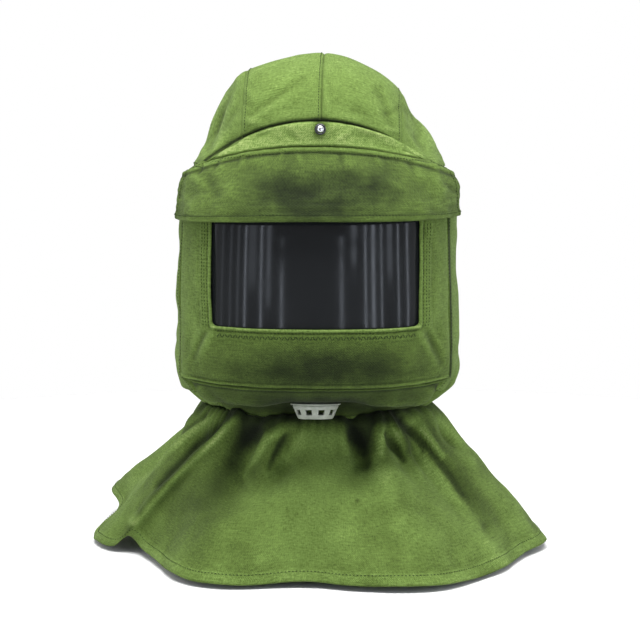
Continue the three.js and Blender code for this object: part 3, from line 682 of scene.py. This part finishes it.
def round_corners(x, z, half, low, high, radius):
    middle = (low + high) / 2
    cx = np.clip(x, -(half - radius), half - radius)
    cz = np.clip(z, low + radius, high - radius)
    off = np.hypot(x - cx, z - cz)
    corner = (np.abs(x - cx) > 0) & (np.abs(z - cz) > 0)
    scale = np.where(corner, radius / np.maximum(off, 1e-9), 1.0)
    return cx + (x - cx) * scale, cz + (z - cz) * scale


def face_sheet(u, v):
    inner_x, inner_z = sharp_outline(u, window_half, window_low, window_high)
    inner_x, inner_z = round_corners(inner_x, inner_z, window_half, window_low, window_high, window_round)
    top = side_top + 6
    outer_x, outer_z = sharp_outline(u, 1.0, jaw, top)
    outer_x = outer_x * corner_at(outer_x, np.minimum(outer_z, side_top))
    outer_z = np.where(outer_z > top - 0.1, flap_seam(outer_x), outer_z)
    spread = gather_ends(v, 0.85)
    x, height = inner_x + (outer_x - inner_x) * spread, inner_z + (outer_z - inner_z) * spread
    return body_at(bearing_of(x, height), height)


def window_distance(points):
    beside = np.abs(points[:, 0]) - window_half
    above, below = points[:, 2] - window_high, window_low - points[:, 2]
    off = np.maximum(above, below)
    return np.where((beside > 0) & (off > 0), np.hypot(beside, off), np.maximum(beside, off))


def face_lift(u, v, points):
    edge = np.maximum(window_distance(points), 0)
    turned_edge = 1.4 * (1 - smooth(2.0, 3.4, edge)) - 0.3 * bell(edge, 0.5) - 0.5 * bell(edge - 4.6, 0.8)
    band = 0.25 * smooth(4, 6, edge) * (1 - smooth(12, 14, edge)) - 0.3 * bell(edge - 13.4, 1.0)
    corner = corner_at(points[:, 0], np.clip(points[:, 2], jaw, side_top))
    sides = turned_in(np.maximum(corner - np.abs(points[:, 0]), 0) * 1.7, 1.0, 3.0)
    above_jaw = np.maximum(points[:, 2] - jaw, 0)
    jaw_edge = 1.5 * bell(above_jaw - 1.9, 1.1) - 0.5 * bell(above_jaw - 4.4, 0.9)
    jaw_edge = jaw_edge - 0.5 * bell(above_jaw, 0.6)
    pulls = folds(points, [
        (-106, 243, -122, 212, 3.4, -2.0), (-100, 240, -115, 208, 3.2, 1.2), (-113, 236, -127, 206, 3, 1.0),
        (107, 243, 124, 206, 3.4, -2.0), (101, 240, 116, 206, 3.2, 1.2), (113, 240, 128, 212, 3, 1.0),
        (-86, 216, -20, 209, 7, 1.0), (-60, 201, 20, 198, 6, -0.9), (20, 214, 90, 205, 7, 0.9),
        (-118, 300, -114, 262, 4, 0.8), (117, 310, 113, 262, 4, -0.8), (60, 200, 112, 198, 5, -0.8),
        (-110, 196, -70, 193, 4, 0.8), (-20, 192, 50, 190, 3, 0.7),
    ])
    unrest = ripple(points, 34, 1.5, 11) + ripple(points, 11, 0.35, 4)
    return turned_edge + band + sides + jaw_edge + pulls + unrest


def corner_seam_shade(points):
    """Painted shade in the corner seams, heavy at the wearer's left."""
    x, level = points[:, 0], np.clip(points[:, 2], jaw, side_top)
    beside = np.abs(np.abs(x) - corner_at(x, level))
    seam_shade = np.where(x < 0, 0.35, 0.88) * bell(beside, 1.5)
    return 1 - seam_shade * smooth(jaw - 6, jaw, points[:, 2]) * (points[:, 1] < 0)


def face_shading(points):
    # Painted highlight along the window's lower rim; painted shade over the lower face down to the jaw,
    # faintly along both sides and a little all over; painted shade in the corner seams.
    edge = window_distance(points)
    rim_highlight = 1 + 0.6 * bell(edge - 0.7, 1.0) * smooth(window_low + 3, window_low - 0.5, points[:, 2])
    return rim_highlight * corner_seam_shade(points) * darker_blotches(points, [
        (0, 208, 124, 27, 0.82), (60, 204, 74, 22, 0.1), (0, 190, 160, 8, 0.14), (-118, 330, 20, 50, 0.16),
        (122, 330, 18, 50, 0.18), (0, 300, 400, 400, 0.07),
    ], 2, 0.14)


face_panel = sew(
    "face_panel", 460, 60, face_sheet, face_lift, (900, 60), closed=True, painted_shading_of=face_shading, upright=True,
)


chart_wide, chart_low, chart_tall = 300, 180, 220


def front_chart(u, v):
    """The front of the hood by plain places, for stitches that run straight across or up."""
    height = chart_low + chart_tall * v
    return body_at(bearing_of(chart_wide * (u - 0.5), height), height)


def on_chart(x, z):
    return x / chart_wide + 0.5, (z - chart_low) / chart_tall


window_rows = []
for off in (4.2, 7.0, 9.8):
    side_z = np.linspace(window_low - 2, 344, 60)
    for half in (-window_half - off, window_half + off):
        window_rows.append(on_chart(half + 0 * side_z, side_z))
bottom_x = np.linspace(-window_half + 2, window_half - 2, 120)
window_rows.append(on_chart(bottom_x, window_low - 4.2 + 0 * bottom_x))
window_thread = stitch("window_stitches", front_chart, face_lift, window_rows)
slant_lines = []
for number, x in enumerate(np.arange(-96.0, 96.0, 2.7)):
    levels = window_low - np.array([6.6, 11.2] if number % 2 else [11.2, 6.6])
    slant_lines.append(on_chart(np.array([x, x + 2.7]), levels))
slant_thread = stitch("zigzag_stitches", front_chart, face_lift, slant_lines, 4.8, 4.8, 0.9)

# The window pane behind the canvas, a thin bowed sheet of clear plastic.
# It is bent to the face panel's curve and reaches a finger's width under the canvas all round.
# From outside it looks almost black against the dark inside of the hood; here the pane is an opaque, almost
# black glossy sheet, so that dark inside is painted shade.
pane_lap = 11.0


def pane_sheet(u, v):
    x = (window_half + pane_lap) * (2 * u - 1)
    height = window_low - pane_lap + (window_high - window_low + 2 * pane_lap) * v
    return body_at(bearing_of(x, height), height)


def pane_lift(u, v, points):
    behind_canvas = 2.4
    return -behind_canvas + 0 * u


window_glass, pane_tree, pane_shader = new_finish("window_glass")
# Near-black opaque base colour: painted shade of the hood's inside behind the pane.
set_sockets(pane_shader, {"Base Color": (0.009, 0.01, 0.011, 1), "IOR": 1.5, "Specular IOR Level": 0.33})
scuff_spot = pane_tree.nodes.new("ShaderNodeTexCoord")
scuffs = noise_map(pane_tree, scuff_spot.outputs["Object"], (60, 60, 60), 6)
pane_tree.links.new(reckon(pane_tree, "MULTIPLY_ADD", scuffs, 0.11, 0.06), pane_shader.inputs["Roughness"])
pane = sew("window_pane", 96, 40, pane_sheet, pane_lift, (224, 126), wall=1.2, finish=window_glass)

# The side panels, from the corner seams round to a seam at the middle of the back.
# Each is one large piece of canvas that hangs from the crown and is drawn in at the neck.
side_wide, neck_front_half = 330, 96


def chin_share(height):
    return np.clip((height - neck_top) / (jaw - neck_top), 0, 1)


def front_limit(side, height):
    """How far out a side panel begins: at the corner seam, and nearer in along the chin."""
    corner = corner_at(side, np.clip(height, jaw, side_top))
    return neck_front_half + (corner - neck_front_half) * chin_share(height)


for side, hand in hands:
    name = "side_panel_" + hand

    def side_sheet(u, v, side=side):
        turn_share = u if side > 0 else 1 - u
        height = neck_top + (side_top - neck_top) * gather_ends(v, 0.6)
        start = np.abs(bearing_of(side * front_limit(side, height), height))
        bearing = start + (np.pi - start) * gather_ends(turn_share, 0.75)
        top = flap_seam(body_at(side * bearing, height)[..., 0])
        return body_at(side * bearing, neck_top + (top - neck_top) * gather_ends(v, 0.6))

    def side_lift(u, v, points, side=side):
        ahead = gather_ends(u if side > 0 else 1 - u, 0.75) * side_wide
        seams = turned_in(ahead, 1.0, 3.0) + turned_in(side_wide - ahead, 0.8, 2.0)
        ends = turned_in(np.maximum(points[:, 2] - neck_top, 0), 1.0, 1.4)
        ends = ends + turned_in(np.maximum(flap_seam(points[:, 0]) - points[:, 2], 0), 0.6, 1.8)
        bearing = np.arctan2(points[:, 0], -points[:, 1])
        gathers = np.sin(26 * bearing + 2 * np.sin(9 * bearing)) * smooth(215, 155, points[:, 2])
        gathers = 1.5 * gathers * smooth(0, 20, ahead)
        creases = folds(points, [
            (-146, 214, -128, 196, 5, -2.0), (146, 216, 128, 196, 5, -2.0), (-140, 380, -132, 350, 5, 1.5),
            (140, 380, 134, 350, 5, 1.5),
        ])
        drag = 1.6 * np.sin(points[:, 2] / 21 + points[:, 1] / 26 + 2 * np.sin(points[:, 1] / 60))
        drag = drag * bell(points[:, 2] - 225, 45) * smooth(10, 60, points[:, 1] + 40)
        unrest = ripple(points, 52, 4.2, 13 + side) + ripple(points, 20, 1.4, 17)
        return seams + ends + gathers + creases + drag + unrest

    panel = sew(name, 150, 150, side_sheet, side_lift, (side_wide, 255), painted_shading_of=corner_seam_shade, relief_shading=0.13)
    ahead = at_share(3.8 / side_wide, 0.75)
    lines = [(0 * long_way + (ahead if side > 0 else 1 - ahead), long_way)]
    thread = stitch(name + "_stitches", side_sheet, side_lift, lines)

# The chin panel, which runs back from the jaw seam to the neck.
# It hangs almost level round the breather valve, and the neck gathers pull it into soft folds. Its
# side edges run a finger's width under the side panels.
valve_spot = np.array([-0.45, -124.0])
chin_tuck = 14.0


def chin_sheet(u, v):
    height = neck_top + (jaw - neck_top) * gather_ends(v, 0.5)
    across = 2 * gather_ends(u, 0.6) - 1
    tucked = chin_tuck * (1 - smooth(0.72, 0.94, chin_share(height)))
    x = (front_limit(across, height) + tucked) * across
    return body_at(bearing_of(x, height), height)


def chin_lift(u, v, points):
    ends = turned_in(np.maximum(jaw - points[:, 2], 0), 0.6, 1.8)
    from_valve = np.hypot(points[:, 0] - valve_spot[0], points[:, 1] - valve_spot[1])
    calm = smooth(24, 40, from_valve)
    sag = folds(points, [
        (-120, 178, -84, 158, 5, 2.2), (-100, 172, -60, 152, 5, -1.8), (-60, 172, -36, 158, 5, 1.6),
        (118, 178, 80, 156, 5, 2.2), (96, 170, 58, 152, 5, -1.8), (62, 174, 38, 158, 5, 1.6),
    ])
    droop = 7 * (bell(points[:, 0] + 78, 36) + 1.3 * bell(points[:, 0] - 88, 34))
    droop = droop * bell(points[:, 2] - 166, 9)
    welt = 1.6 * bell(jaw - points[:, 2] - 1.4, 1.0)
    from_edge = 110 * (1 - np.abs(2 * gather_ends(u, 0.6) - 1))
    under = 5.5 * smooth(19, 12, from_edge) * smooth(jaw - 1, jaw - 6, points[:, 2])
    return ends + welt + calm * (sag + droop + ripple(points, 22, 1.4, 23)) - under


def chin_shading(points):
    # Painted shade over the chin panel, and a painted shadow line just under the jaw seam's welt.
    line = 0.5 * bell(jaw - points[:, 2] - 3.6, 1.1)
    return darker_blotches(points, [(0, 170, 160, 27, 0.86), (0, 152, 160, 9, 0.3)], 8, 0.12) * (1 - line)


chin_panel = sew("chin_panel", 150, 60, chin_sheet, chin_lift, (260, 120), painted_shading_of=chin_shading)
across_jaw = np.linspace(0.02, 0.98, 300)
lines = [(across_jaw, 0 * across_jaw + at_share(1 - 3.0 / (jaw - neck_top), 0.5))]
jaw_thread = stitch("jaw_stitches", chin_sheet, chin_lift, lines)

# The visor flap, a doubled band of canvas that hangs over the window's top.
# It is sewn on along the curved seam, hemmed at its ends and its free edge, and it can be turned
# up onto the stud.
flap_low, flap_end, flap_long, flap_tall = 349.0, 62.0, 420, 69


def flap_low_at(x):
    """The free edge hangs a little lower at its ends, most at the wearer's right."""
    return flap_low - np.where(x < 0, 5.5, 1.5) * np.minimum(np.abs(x) / 140, 1) ** 2


def flap_sheet(u, v):
    height = seam_crest + (flap_low - seam_crest) * (1 - gather_ends(v, 0.6))
    wide, front, _, square, _ = form_at(height)
    reach_out = wide * (1 - np.minimum(flap_end / front, 0.999) ** square) ** (1 / square)
    end = np.arctan2(reach_out, flap_end)
    bearing = end * (2 * gather_ends(u, 0.5) - 1)
    x = body_at(bearing, height)[..., 0]
    top = flap_seam(x)
    low = flap_low_at(x)
    height = low + (top - low) * gather_ends(v, 0.6)
    bare = body_at(bearing, height)
    hang = smooth(0, 1, (seam_crest - height) / (seam_crest - flap_low))
    to_end = np.minimum(np.abs(bare[..., 0]) / 145, 1) ** 2
    off = 2.4 + (14 + (1.5 - 14) * to_end) * hang
    ledge = smooth(0, 7, top - height) * (1 - smooth(8, 36, top - height))
    off = off + 8.5 * smooth(0.55, 0.95, np.abs(bare[..., 0]) / 138) * ledge
    away = np.stack([np.sin(bearing), -np.cos(bearing), 0 * bearing], -1)
    return bare + away * off[..., None]


def flap_lift(u, v, points):
    down = np.maximum(flap_seam(points[:, 0]) - points[:, 2], 0)
    up = np.maximum(points[:, 2] - flap_low_at(points[:, 0]), 0)
    top_edge = 1.2 * bell(down - 2.6, 1.5) - 2.2 * bell(down, 1.0) - 0.5 * bell(down - 5.2, 0.8)
    hemmed = 0.7 * (1 - smooth(6.4, 7.6, up)) - 0.6 * bell(up - 6.2, 0.7) - 0.5 * bell(up, 0.8)
    end_off = np.minimum(gather_ends(u, 0.5), 1 - gather_ends(u, 0.5)) * flap_long
    ends = 0.7 * (1 - smooth(11.4, 12.6, end_off)) - 0.6 * bell(end_off - 11.2, 0.7)
    streaks = ripple(points * (0.1, 0.3, 1), 4.5, 0.7, 61) * smooth(395, 375, points[:, 2])
    soft = folds(points, [
        (-132, 372, -124, 356, 6, 1.6), (-108, 398, -96, 372, 7, -1.4), (-60, 404, -20, 398, 8, 1.2),
        (-30, 380, 30, 384, 10, -1.6), (0, 404, 50, 396, 8, 1.0), (60, 372, 100, 376, 9, -1.4),
        (118, 384, 130, 364, 5, 1.6), (84, 398, 112, 388, 6, 1.2), (-90, 366, -40, 362, 8, 1.0),
        (-124, 388, -112, 380, 4, 1.4), (128, 380, 136, 372, 3, -1.6), (-112, 406, -118, 392, 2.4, -3.0),
        (-94, 409, -101, 396, 2.4, -2.6), (-70, 412, -73, 398, 2.6, 1.6), (-31, 418, -34, 406, 2.2, 2.2),
        (-20, 417, -14, 400, 2.8, 1.3), (22, 416, 26, 402, 2.8, -1.2), (58, 412, 64, 398, 2.8, 1.3),
        (88, 408, 96, 394, 2.6, -1.4), (112, 402, 120, 390, 2.6, 1.6), (-132, 392, -138, 366, 3, -1.2),
    ])
    unrest = ripple(points, 36, 2.2, 29) + ripple(points, 13, 0.4, 31)
    return top_edge + hemmed + ends + soft + streaks + unrest


def flap_shading(points):
    # Painted shadow under the seam's roll, painted shade in the hem's groove and over the whole flap, and the
    # flap darker in blotches over its middle.
    shadow_under_seam = 0.6 * bell(flap_seam(points[:, 0]) - points[:, 2] - 5.0, 1.6)
    hem_shade = 0.35 * bell(points[:, 2] - flap_low_at(points[:, 0]) - 6.2, 1.2)
    return (1 - shadow_under_seam) * (1 - hem_shade) * darker_blotches(points, [
        (4, 374, 86, 30, 0.58), (-46, 384, 18, 9, 0.12), (-24, 392, 12, 16, 0.14), (30, 394, 12, 8, 0.2),
        (62, 388, 17, 15, 0.22), (0, 360, 100, 10, 0.14), (0, 380, 400, 400, 0.28),
    ], 4, 0.16)


visor_flap = sew("visor_flap", 240, 60, flap_sheet, flap_lift, (flap_long, 75), wall=2.0, painted_shading_of=flap_shading)
whole_flap = np.linspace(0.004, 0.996, 420)
up_flap = np.linspace(0.01, 0.96, 90)
levels = [at_share(share, 0.6) for share in (6.2 / flap_tall, 1 - 5.2 / flap_tall)]
end_hem = at_share(11.2 / flap_long, 0.5)
lines = [(whole_flap, 0 * whole_flap + level) for level in levels]
lines += [(0 * up_flap + end, up_flap) for end in (end_hem, 1 - end_hem)]
flap_thread = stitch("flap_stitches", flap_sheet, flap_lift, lines)

# The neck band, a doubled strip of canvas between the hood and the cape.
# The chin and the side panels are sewn to its upper edge, and the cape's gathers cover it.
band_low, band_tall = 134.4, 11.2


def neck_sheet(u, v):
    bare = body_at(2 * np.pi * u - np.pi, neck_top + 0 * u)
    return np.stack([bare[:, 0], bare[:, 1], band_low + band_tall * v], -1)


def neck_lift(u, v, points):
    return 0.5 + ripple(points, 16, 1.2, 41)


neck_band = sew("neck_band", 220, 8, neck_sheet, neck_lift, (700, 11), wall=2.4, closed=True)

# The cape, a wide round of canvas gathered into the neck band.
# It spreads over the shoulders, so it stands out from the neck in deep soft folds and ends in a
# turned and stitched hem. One corner at the wearer's right curls up.
cape_lines = np.array([
    # neck bearing, hem bearing, reach, lift over the hem's level, power of the fall
    (-180, -180, 205.3, 0.0, 1.2), (-152, -152, 257.6, 8.0, 1.1), (-112, -122, 278.2, 24.8, 1.1),
    (-97, -108, 235.7, 16.1, 1.05), (-82, -95, 244.2, -2.0, 1.05), (-72, -84, 234.5, -1.3, 1.1),
    (-64, -77.5, 219.9, 0.0, 1.1), (-58, -74.5, 204.6, 12.7, 1.15), (-53, -70, 194.4, 2.7, 1.15),
    (-45, -57, 193.9, 0.0, 1.2), (-37, -44, 208.0, 0.0, 1.2), (-29, -33, 218.2, -0.7, 1.2),
    (-19, -21, 209.0, -1.3, 1.25), (-9, -9, 188.3, -1.1, 1.3), (0, 0, 185.9, 0.0, 1.3),
    (8, 9, 198.0, -0.7, 1.3), (19, 21, 216.3, 0.0, 1.3), (29, 32, 228.9, 0.0, 1.3),
    (40, 43, 226.0, -1.3, 1.3), (55, 58, 222.3, -2.0, 1.3), (70, 74, 221.1, -0.7, 1.3),
    (86, 88, 239.4, 1.3, 1.25), (106, 108, 226.0, 4.0, 1.2), (130, 132, 239.4, 4.0, 1.2),
    (155, 156, 218.7, 0.0, 1.2),
])
cape_valleys = [
    # bearing at the neck and lower down, depth, half width in degrees, spread, share where it ends
    (-68, -72, 13, 4.5, 1, 0.4), (-36, -36, 26, 8, 1.2, 0.8), (-12, -28, 20.8, 6, 1.2, 0.7),
    (25, 12, 26, 8, 0.4, 0.6), (41, 45, 13, 4, 1.2, 0.7), (55, 56, 19.5, 5, 1.5, 1.15),
    (77, 84, 14.3, 5, 1, 0.45), (108, 112, 13, 7, 1.3, 0.8), (146, 146, 14.3, 7, 1.3, 0.9),
    (180, 180, 11.7, 7, 1.3, 0.8), (-146, -142, 14.3, 7, 1.3, 0.9), (-104, -108, 13, 6, 1.2, 0.9),
]
lap = np.array([360, 360, 0, 0, 0])
cape_knots = np.vstack([cape_lines[-2:] - lap, cape_lines, cape_lines[:3] + lap])
cape_top, cape_fall = 134, 150


def cape_sheet(u, v):
    neck_turn, hem_turn, reach, lift, power = through(cape_knots, u * len(cape_lines) + 1).T
    down = 1 - v
    bearing = neck_turn + (hem_turn - neck_turn) * down
    neck_spot = body_at(np.radians(neck_turn), neck_top + 0 * u)
    over_band = 1 - smooth(0.0, 0.35, down)
    radius = np.hypot(neck_spot[:, 0], neck_spot[:, 1]) * (1 - down) + reach * down + 1.6 * over_band
    drop = np.maximum(down, 0) ** power
    height = cape_top * (1 - drop) + lift * drop + 14 * over_band
    for neck_at, end_at, depth, width, spread, fade in cape_valleys:
        middle = neck_at + (end_at - neck_at) * down
        off = (bearing - middle + 180) % 360 - 180
        strength = smooth(0.07, 0.26, down) * (1 - smooth(0.2 * fade, fade, down))
        push = depth * strength * bell(off, width * (1 + spread * down))
        radius = radius - 0.7 * push
        height = height - 0.7 * push * (1 - smooth(0.5, 1, down)) * (down > 0)
    turn_to = np.radians(bearing)
    return np.stack([radius * np.sin(turn_to), -radius * np.cos(turn_to), height], -1)


cape_long_folds = [
    # half width, height, and the bent line that the fold follows in the front view
    (5.6, 8.0, [(-81, 146), (-104, 120), (-150, 73), (-191, 26)]),
    (3.8, 4.5, [(-103, 146), (-141, 112), (-193, 60)]),
    (5.0, -7.0, [(-92, 142), (-122, 110), (-165, 66)]),
    (5.0, 5.5, [(-26, 140), (-50, 127), (-71, 86)]),
    (6.0, -4.5, [(97, 128), (138, 80), (171, 36)]),
]
cape_folds = [
    # ridges and creases of the front as seen: x, z, x, z, half width, height
    (-111, 148, -160, 108, 4, 3.0), (-118, 138, -168, 90, 4, -3.0), (-60, 146, -84, 100, 13, -8.0),
    (-33, 128, -47, 98, 3.5, -3.0), (-8, 140, -24, 104, 8, 2.5), (34, 148, 48, 102, 8, -9.0),
    (24, 140, 34, 100, 5, 2.5), (62, 142, 64, 112, 4.5, 6.0), (69, 128, 87, 102, 3.5, -5.0),
    (71, 145, 88, 116, 2.8, 6.5), (84, 140, 106, 112, 3.5, -5.0), (106, 128, 127, 100, 3.2, 5.5),
    (112, 142, 160, 88, 5, 2.5),
    (-20, 96, -40, 60, 14, 1.5), (40, 84, 70, 40, 16, -1.5), (60, 104, 84, 60, 9, 2.0),
]


def in_front(points):
    return smooth(20, -20, points[:, 1])


def cape_lift(u, v, points):
    hem_off = v * cape_fall
    hemmed = 0.9 * (1 - smooth(9.6, 10.8, hem_off)) - 0.5 * bell(hem_off - 9.6, 0.8)
    neck_off = (1 - v) * cape_fall
    puckers = 0.8 * np.sin(u * 2 * np.pi * 33 + 3 * np.sin(u * 23)) * bell(neck_off, 18)
    front = folds(points, cape_folds)
    for reach, height, line in cape_long_folds:
        front = front + long_fold(points, line, reach, height)
    front = front * in_front(points) * smooth(0, 20, hem_off)
    turn_by = u * 2 * np.pi
    drift = np.sin(11 * turn_by + 1.5 * np.sin(3 * turn_by))
    drift = 2.6 * (drift + 0.6 * np.sin(19 * turn_by + np.sin(5 * turn_by)))
    drift = drift * smooth(-40, 40, points[:, 1]) * smooth(cape_fall, 60, neck_off) * smooth(2, 25, neck_off)
    unrest = drift + ripple(points, 44, 3.2, 53) + ripple(points, 17, 0.6, 57)
    return hemmed + puckers + front - 0.6 * bell(neck_off, 2) + unrest


def cape_shading(points):
    # Painted shade in the folds' hollows, under the chin and over broad patches of the front, painted
    # highlight on the crests, and two small dark dots.
    hollow_shade = folds(points, [
        (-56, 158, -80, 104, 14, 1.05), (-84, 104, -110, 60, 15, 0.55), (-124, 146, -176, 92, 4, 0.45),
        (-26, 136, -44, 100, 7, 0.5),
        (46, 160, 48, 108, 10, 1.3), (30, 146, 38, 112, 8, 0.5), (84, 134, 99, 100, 6, 0.7),
        (112, 134, 126, 108, 4.5, 0.4), (130, 104, 180, 34, 8, 0.6), (-130, 152, 130, 152, 13, 1.15),
        (60, 146, 88, 136, 7, 0.5),
    ])
    crest_highlight = folds(points, [
        (-50, 127, -70, 92, 3.4, 0.35), (74, 140, 88, 116, 3, 0.7), (106, 128, 127, 100, 3, 0.5),
    ])
    crest_highlight = crest_highlight + long_fold(points, cape_long_folds[0][2], 3.0, 0.75)
    crest_highlight = crest_highlight + long_fold(points, cape_long_folds[1][2], 2.8, 0.4)
    hollow_shade = hollow_shade + long_fold(points, [(-88, 146), (-118, 114), (-152, 80), (-184, 40)], 4.8, 0.7)
    spots = [
        (-124, 50, 44, 36, 0.36), (140, 60, 60, 60, 0.16), (60, 16, 34, 9, 0.16), (107, 105, 1.6, 1.6, 0.8),
        (41, 72, 1.6, 1.6, 0.7), (-150, 90, 60, 60, 0.18), (0, 60, 400, 400, 0.06),
    ]
    shade = darker_blotches(points, spots, 6, 0.22) * (1 - np.clip(hollow_shade, 0, 0.9)) * (1 + crest_highlight)
    return 1 - in_front(points) * (1 - shade)


cape = sew("cape", 540, 88, cape_sheet, cape_lift, (1300, 175), closed=True, painted_shading_of=cape_shading)
round_hem = np.linspace(0, 1, 1600)
hem_line = [(round_hem, 0 * round_hem + 7.6 / cape_fall)]
hem_thread = stitch("hem_stitches", cape_sheet, cape_lift, hem_line, gap=3.6)

# The breather valve, moulded in off-white plastic.
# Its flange lies under the chin, and a tapered cage with ten windows hangs from it, so the wearer's
# breath leaves downwards. A dark rubber disc behind the windows keeps the dust out.


def mottled(tree, shader, spots, stops, tones):
    """Two tones in the shader's colour by a noise of so many spots to a metre, and the noise."""
    place = tree.nodes.new("ShaderNodeTexCoord")
    mottle = noise_map(tree, place.outputs["Object"], (spots, spots, spots), 4)
    shades = tree.nodes.new("ShaderNodeValToRGB")
    for end, stop, tone in zip(shades.color_ramp.elements, stops, tones):
        end.position = stop
        end.color = (*tone, 1)
    tree.links.new(mottle, shades.inputs["Fac"])
    tree.links.new(shades.outputs["Color"], shader.inputs["Base Color"])
    return place.outputs["Object"], mottle


def moulded(name, base, accent):
    """Plastic with a faint mottle and fine scratches in its gloss."""
    material, tree, shell = new_finish(name)
    spot, _ = mottled(tree, shell, 180, (0.3, 0.7), (base, accent))
    scratches = noise_map(tree, spot, (900, 300, 1500), 2)
    tree.links.new(reckon(tree, "MULTIPLY_ADD", scratches, 0.25, 0.35), shell.inputs["Roughness"])
    relief_of(tree, scratches, 0.15, 0.0002, shell)
    return material


def turned(name, profile, spot, axis, finish, slot, segments=80, windows=None):
    """A profile of radius and depth in mm, spun about an axis, with gaps cut where windows says."""
    bm = bmesh.new()
    verts = [bm.verts.new((radius, 0, depth)) for radius, depth in profile]
    edges = [bm.edges.new(pair) for pair in zip(verts, verts[1:])]
    bmesh.ops.spin(
        bm, geom=verts + edges, cent=(0, 0, 0), axis=(0, 0, 1), angle=2 * math.pi, steps=segments,
        use_merge=True,
    )
    bmesh.ops.remove_doubles(bm, verts=bm.verts, dist=1e-4)
    if windows:
        gone = [face for face in bm.faces if windows(face.calc_center_median())]
        bmesh.ops.delete(bm, geom=gone, context="FACES")
    bmesh.ops.recalc_face_normals(bm, faces=bm.faces)
    stand = Vector(axis).to_track_quat("Z", "Y").to_matrix().to_4x4()
    to_hood = Matrix.Translation(to_row(np.array(spot))) @ stand @ Matrix.Diagonal((0.001, 0.001, 0.001, 1))
    bmesh.ops.transform(bm, matrix=to_hood, verts=bm.verts)
    return make_piece(name, bm, finish)


valve_white = moulded("valve_plastic", (0.185, 0.205, 0.165), (0.26, 0.28, 0.235))
rubber = moulded("dark_rubber", (0.03, 0.036, 0.028), (0.05, 0.056, 0.046))
valve_at, valve_axis = (-0.47, -124.0, 167.16), (0.00103, -0.11608, -0.99324)
plate = [
    (13, -4.8), (19, -4.8), (19.2, -4.2), (19, -3.3), (16, -3.3), (16, 1.8), (24.4, 1.8), (25, 2.3),
    (25, 3.1), (24.4, 3.6), (13.4, 3.6), (13, 3.2), (13, -4.8),
]
valve_body = turned("valve_flange", plate, valve_at, valve_axis, valve_white, "valve_plastic")
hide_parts("valve_body")
cage = [
    (22.2, 3.9), (22.5, 4.4), (22.5, 5.6), (22.2, 6.2), (21.4, 8.0), (19.2, 13.2), (17.6, 16.6),
    (16.8, 17.4), (14, 17.5), (13.4, 17.0), (9, 17.0), (8.4, 17.5), (3, 17.5), (0, 17.5),
]


def cage_window(spot):
    sector = (math.degrees(math.atan2(spot.x, -spot.y)) / 36) % 1
    return 8.1 < spot.z < 13.1 and 0.19 < sector < 0.81


valve_cage = turned(
    "valve_basket", cage, valve_at, valve_axis, valve_white, "valve_plastic", windows=cage_window,
)
cage_wall = valve_cage.modifiers.new("cage_wall", "SOLIDIFY")
cage_wall.thickness = 0.0016
cage_wall.offset = -1
rounding = valve_cage.modifiers.new("rounding", "BEVEL")
rounding.width = 0.0003
rounding.segments = 2
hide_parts("valve_cage")
disc = [(0, 4.3), (14, 4.3), (15, 4.9), (14, 5.8), (6, 6.6), (0, 6.8)]
turned("valve_disc", disc, valve_at, valve_axis, rubber, "valve_plastic")

# The press stud in the brow band, a dark metal ring round a bright domed cap.
# Both are turned metal, riveted through the doubled canvas.


def polished(name, tone, roughness):
    """Metal with patches of tarnish, half as bright."""
    material, tree, metal = new_finish(name)
    set_sockets(metal, {"Metallic": 1.0})
    _, tarnish = mottled(tree, metal, 500, (0.35, 0.6), ([0.5 * c for c in tone], tone))
    tree.links.new(reckon(tree, "MULTIPLY_ADD", tarnish, 0.3, roughness), metal.inputs["Roughness"])
    return material


stud_at, stud_axis = (3.9, -115.1, 434.5), (0.036, -0.992, 0.124)
ring = [(3.6, 1.2), (5.2, 1.0), (5.6, 1.8), (5.3, 2.7), (4.6, 3.2), (4.1, 2.9), (3.9, 2.2), (3.6, 1.2)]
dark_metal = polished("dark_metal", (0.1, 0.1, 0.11), 0.25)
stud_ring = turned("stud_collar", ring, stud_at, stud_axis, dark_metal, "dark_metal", 48)
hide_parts("stud_ring")
dome = [(1.4, -1.0), (1.4, 1.6), (3.5, 2.0), (3.8, 2.6), (3.5, 3.4), (2.6, 4.1), (1.4, 4.5), (0, 4.6)]
bright_metal = polished("bright_metal", (0.85, 0.85, 0.87), 0.08)
stud_cap = turned("stud_dome", dome, stud_at, stud_axis, bright_metal, "bright_metal", 48)
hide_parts("stud_cap")
